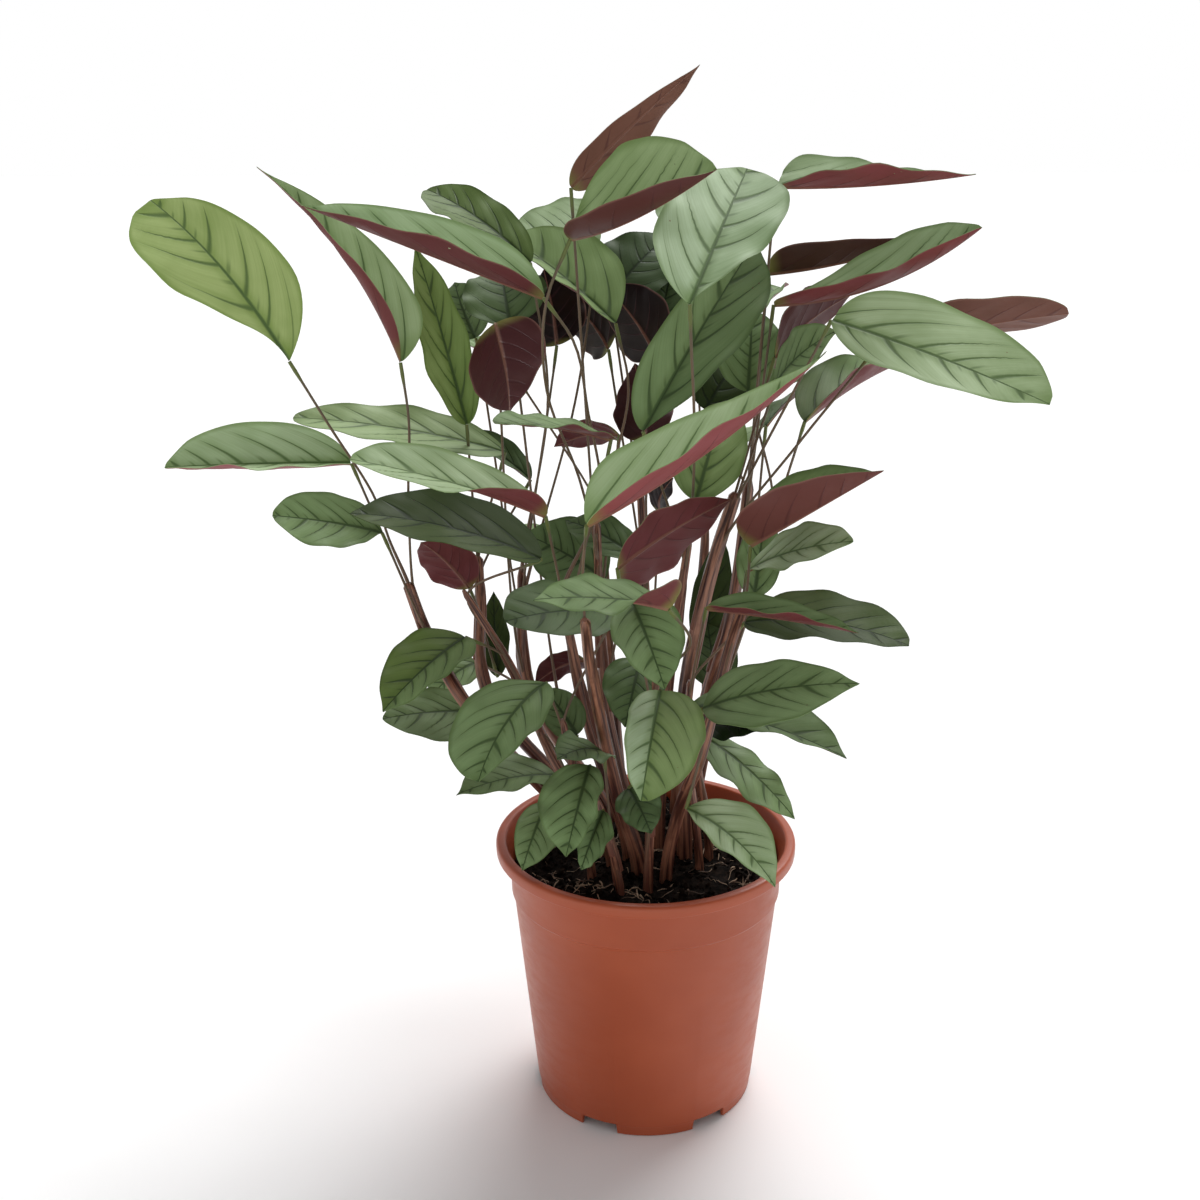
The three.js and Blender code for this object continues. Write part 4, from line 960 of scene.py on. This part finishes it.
def make_soil():
    shape = Shape()
    floor = FOOT_HEIGHT + WALL + SOIL_GAP
    points = [(0, 0, soil_height(0, 0))]
    for i in range(1, SOIL_RINGS + 1):
        sink = 1.5 if i == SOIL_RINGS else 0
        points += [(x, y, soil_height(x, y) - sink) for x, y in circle(SOIL_RADIUS * i / SOIL_RINGS)]
    lower = [(BODY_TOP_RADIUS - WALL - 0.4, POT_HEIGHT - COLLAR_DROP - 1), (BASE_RADIUS + 0.6 - WALL, floor)]
    for radius, z in lower:
        points += [(x, y, z) for x, y in circle(radius)]
    points.append((0, 0, floor))
    first = shape.add_points(points)
    total = SOIL_RINGS + len(lower)
    for j in range(SOIL_SIDES):
        k = (j + 1) % SOIL_SIDES
        shape.add_face((first, first + 1 + j, first + 1 + k), 0)
        for i in range(total - 1):
            a = first + 1 + i * SOIL_SIDES
            b = a + SOIL_SIDES
            shape.add_face((a + j, b + j, b + k, a + k), 0)
        last = first + 1 + (total - 1) * SOIL_SIDES
        shape.add_face((first + len(points) - 1, last + k, last + j), 0)
    soil = shape.make("peat_bed", [make_peat()], sharp_deg=80, fields=False)
    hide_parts("soil")
    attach(soil, "root")


LUMP = [(1, 0, 0), (-1, 0, 0), (0, 1, 0), (0, -1, 0), (0, 0, 1), (0, 0, -1)]
LUMP_FACES = [(0, 2, 4), (2, 1, 4), (1, 3, 4), (3, 0, 4), (2, 0, 5), (1, 2, 5), (3, 1, 5), (0, 3, 5)]


def split_lump():
    """An octahedron with each face cut in four, its points on a ball."""
    points = [np.array(p, float) for p in LUMP]
    found = {}

    def half(a, b):
        key = (min(a, b), max(a, b))
        if key not in found:
            points.append(unit(points[a] + points[b]))
            found[key] = len(points) - 1
        return found[key]

    faces = []
    for a, b, c in LUMP_FACES:
        ab, bc, ca = half(a, b), half(b, c), half(c, a)
        faces += [(a, ab, ca), (ab, b, bc), (ca, bc, c), (ab, bc, ca)]
    return np.array(points), faces


def scatter(draw, margin):
    """A place on the soil, at least the margin away from its edge."""
    radius, angle = (SOIL_RADIUS - margin) * math.sqrt(draw.random()), TAU * draw.random()
    return radius * math.cos(angle), radius * math.sin(angle)


def turned(points, draw):
    turn = Matrix.Identity(3)
    for axis in "XYZ":
        turn = turn @ Matrix.Rotation(draw.uniform(0, TAU), 3, axis)
    return points @ np.array(turn)


def make_crumbs():
    draw = random.Random(CRUMB_SEED)
    ball, faces = split_lump()
    shape = Shape()
    for _ in range(CRUMB_COUNT):
        x, y = scatter(draw, 3)
        size = draw.choice(CRUMB_SIZES) * draw.uniform(0.8, 1.2)
        stretch = np.array([draw.uniform(0.7, 1.5), draw.uniform(0.7, 1.1), draw.uniform(0.5, 0.9)])
        rough = np.array([[1 + draw.uniform(-0.25, 0.25)] for _ in ball])
        lump = turned(ball * rough * stretch * size, draw)
        first = shape.add_points(lump + np.array([x, y, soil_height(x, y) + 0.25 * size]))
        for face in faces:
            shape.add_face([first + c for c in face], 0)
    crumbs = shape.make("peat_crumbs", [make_peat()], sharp_deg=30, fields=False)
    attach(crumbs, "root")


def make_fibres():
    """Fibres that lie on the soil, two in three of them in clumps."""
    draw = random.Random(FIBRE_SEED)
    shape = Shape()
    clumps = [scatter(draw, 8) for _ in range(FIBRE_CLUMPS)]
    for _ in range(FIBRE_COUNT):
        x, y = scatter(draw, 4)
        if draw.random() < 0.65:
            middle = draw.choice(clumps)
            x, y = middle[0] + draw.gauss(0, 4), middle[1] + draw.gauss(0, 4)
        heading, length = draw.uniform(0, TAU), draw.uniform(5, 17)
        bend = draw.uniform(-1.6, 1.6)
        line = []
        for i in range(FIBRE_BENDS + 1):
            if math.hypot(x, y) > SOIL_RADIUS - 2.5:
                break
            hump = draw.uniform(0.3, 1.6) if 0 < i < FIBRE_BENDS else 0.2
            line.append((x, y, soil_height(x, y) + hump))
            x += length / FIBRE_BENDS * math.cos(heading)
            y += length / FIBRE_BENDS * math.sin(heading)
            heading += bend / FIBRE_BENDS + draw.uniform(-0.35, 0.35)
        if len(line) < 3:
            continue
        thick = draw.choice(FIBRE_RADII)
        centres, reach = curve_even(line, FIBRE_RINGS)
        radii = [thick * (1 - 0.6 * abs(share)) for share in np.linspace(-1, 1, FIBRE_RINGS)]
        add_tube(shape, centres, radii, FIBRE_SIDES, 0, reach)
    fibres = shape.make("root_fibres", [make_fibre()], sharp_deg=80, fields=False)
    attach(fibres, "root")


make_soil()
make_crumbs()
make_fibres()


# Stage


def make_floor():
    g = Graph("floor")
    colour = g.mix(g.noise(g.place(), 3.0, 2.0), (0.97, 0.97, 0.97), (0.98, 0.98, 0.98))
    mesh = bpy.data.meshes.new("floor")
    corners = [(FLOOR_REACH * x, FLOOR_REACH * y, 0) for x, y in ((-1, -1), (1, -1), (1, 1), (-1, 1))]
    mesh.from_pydata(corners, [], [(0, 1, 2, 3)])
    mesh.materials.append(g.finish(colour, 0.8, shine=0.0))
    floor = bpy.data.objects.new("floor", mesh)
    floor.location.z = -FLOOR_DROP
    bpy.context.scene.collection.objects.link(floor)


def make_sky():
    """White near the horizon and greyer above."""
    world = bpy.data.worlds.new("studio")
    world.use_nodes = True
    nodes, links = world.node_tree.nodes, world.node_tree.links
    direction = nodes.new("ShaderNodeTexCoord").outputs["Generated"]
    parts = nodes.new("ShaderNodeSeparateXYZ")
    rise = nodes.new("ShaderNodeMapRange")
    rise.interpolation_type = "SMOOTHSTEP"
    for name, value in zip(("From Min", "From Max", "To Min", "To Max"), (*SKY_BAND, *SKY_LIGHT)):
        rise.inputs[name].default_value = value
    links.new(direction, parts.inputs[0])
    links.new(parts.outputs["Z"], rise.inputs["Value"])
    links.new(rise.outputs["Result"], nodes["Background"].inputs["Strength"])
    nodes["Background"].inputs["Color"].default_value = (1.0, 1.0, 1.0, 1)
    bpy.context.scene.world = world


def make_sun():
    """A soft sun, high up behind the plant."""
    lamp = bpy.data.lights.new("high_sun", "SUN")
    lamp.angle, lamp.energy = math.radians(SUN_SPREAD_DEG), SUN_STRENGTH
    light = bpy.data.objects.new("high_sun", lamp)
    light.location = SUN_PLACE
    light.rotation_euler = Vector(SUN_PLACE).to_track_quat("Z", "Y").to_euler()
    bpy.context.scene.collection.objects.link(light)


def make_camera():
    yaw, pitch, roll = (math.radians(a) for a in (CAMERA_YAW_DEG, CAMERA_PITCH_DEG, CAMERA_ROLL_DEG))
    forward = np.array([math.sin(yaw) * math.cos(pitch), math.cos(yaw) * math.cos(pitch), -math.sin(pitch)])
    right = np.array([math.cos(yaw), -math.sin(yaw), 0])
    down = np.cross(forward, right)
    turned_right = math.cos(roll) * right + math.sin(roll) * down
    turned_down = -math.sin(roll) * right + math.cos(roll) * down
    data = bpy.data.cameras.new("camera")
    data.sensor_width = 36
    data.lens = FOCAL_SHARE * data.sensor_width
    data.clip_start, data.clip_end = 0.05, 60
    camera = bpy.data.objects.new("camera", data)
    camera.location = CAMERA_PLACE
    camera.rotation_euler = Matrix((turned_right, -turned_down, -forward)).transposed().to_euler()
    bpy.context.scene.collection.objects.link(camera)
    bpy.context.scene.camera = camera


make_floor()
make_sky()
make_sun()
make_camera()
settings = bpy.context.scene.view_settings
settings.view_transform, settings.look = "Standard", "None"
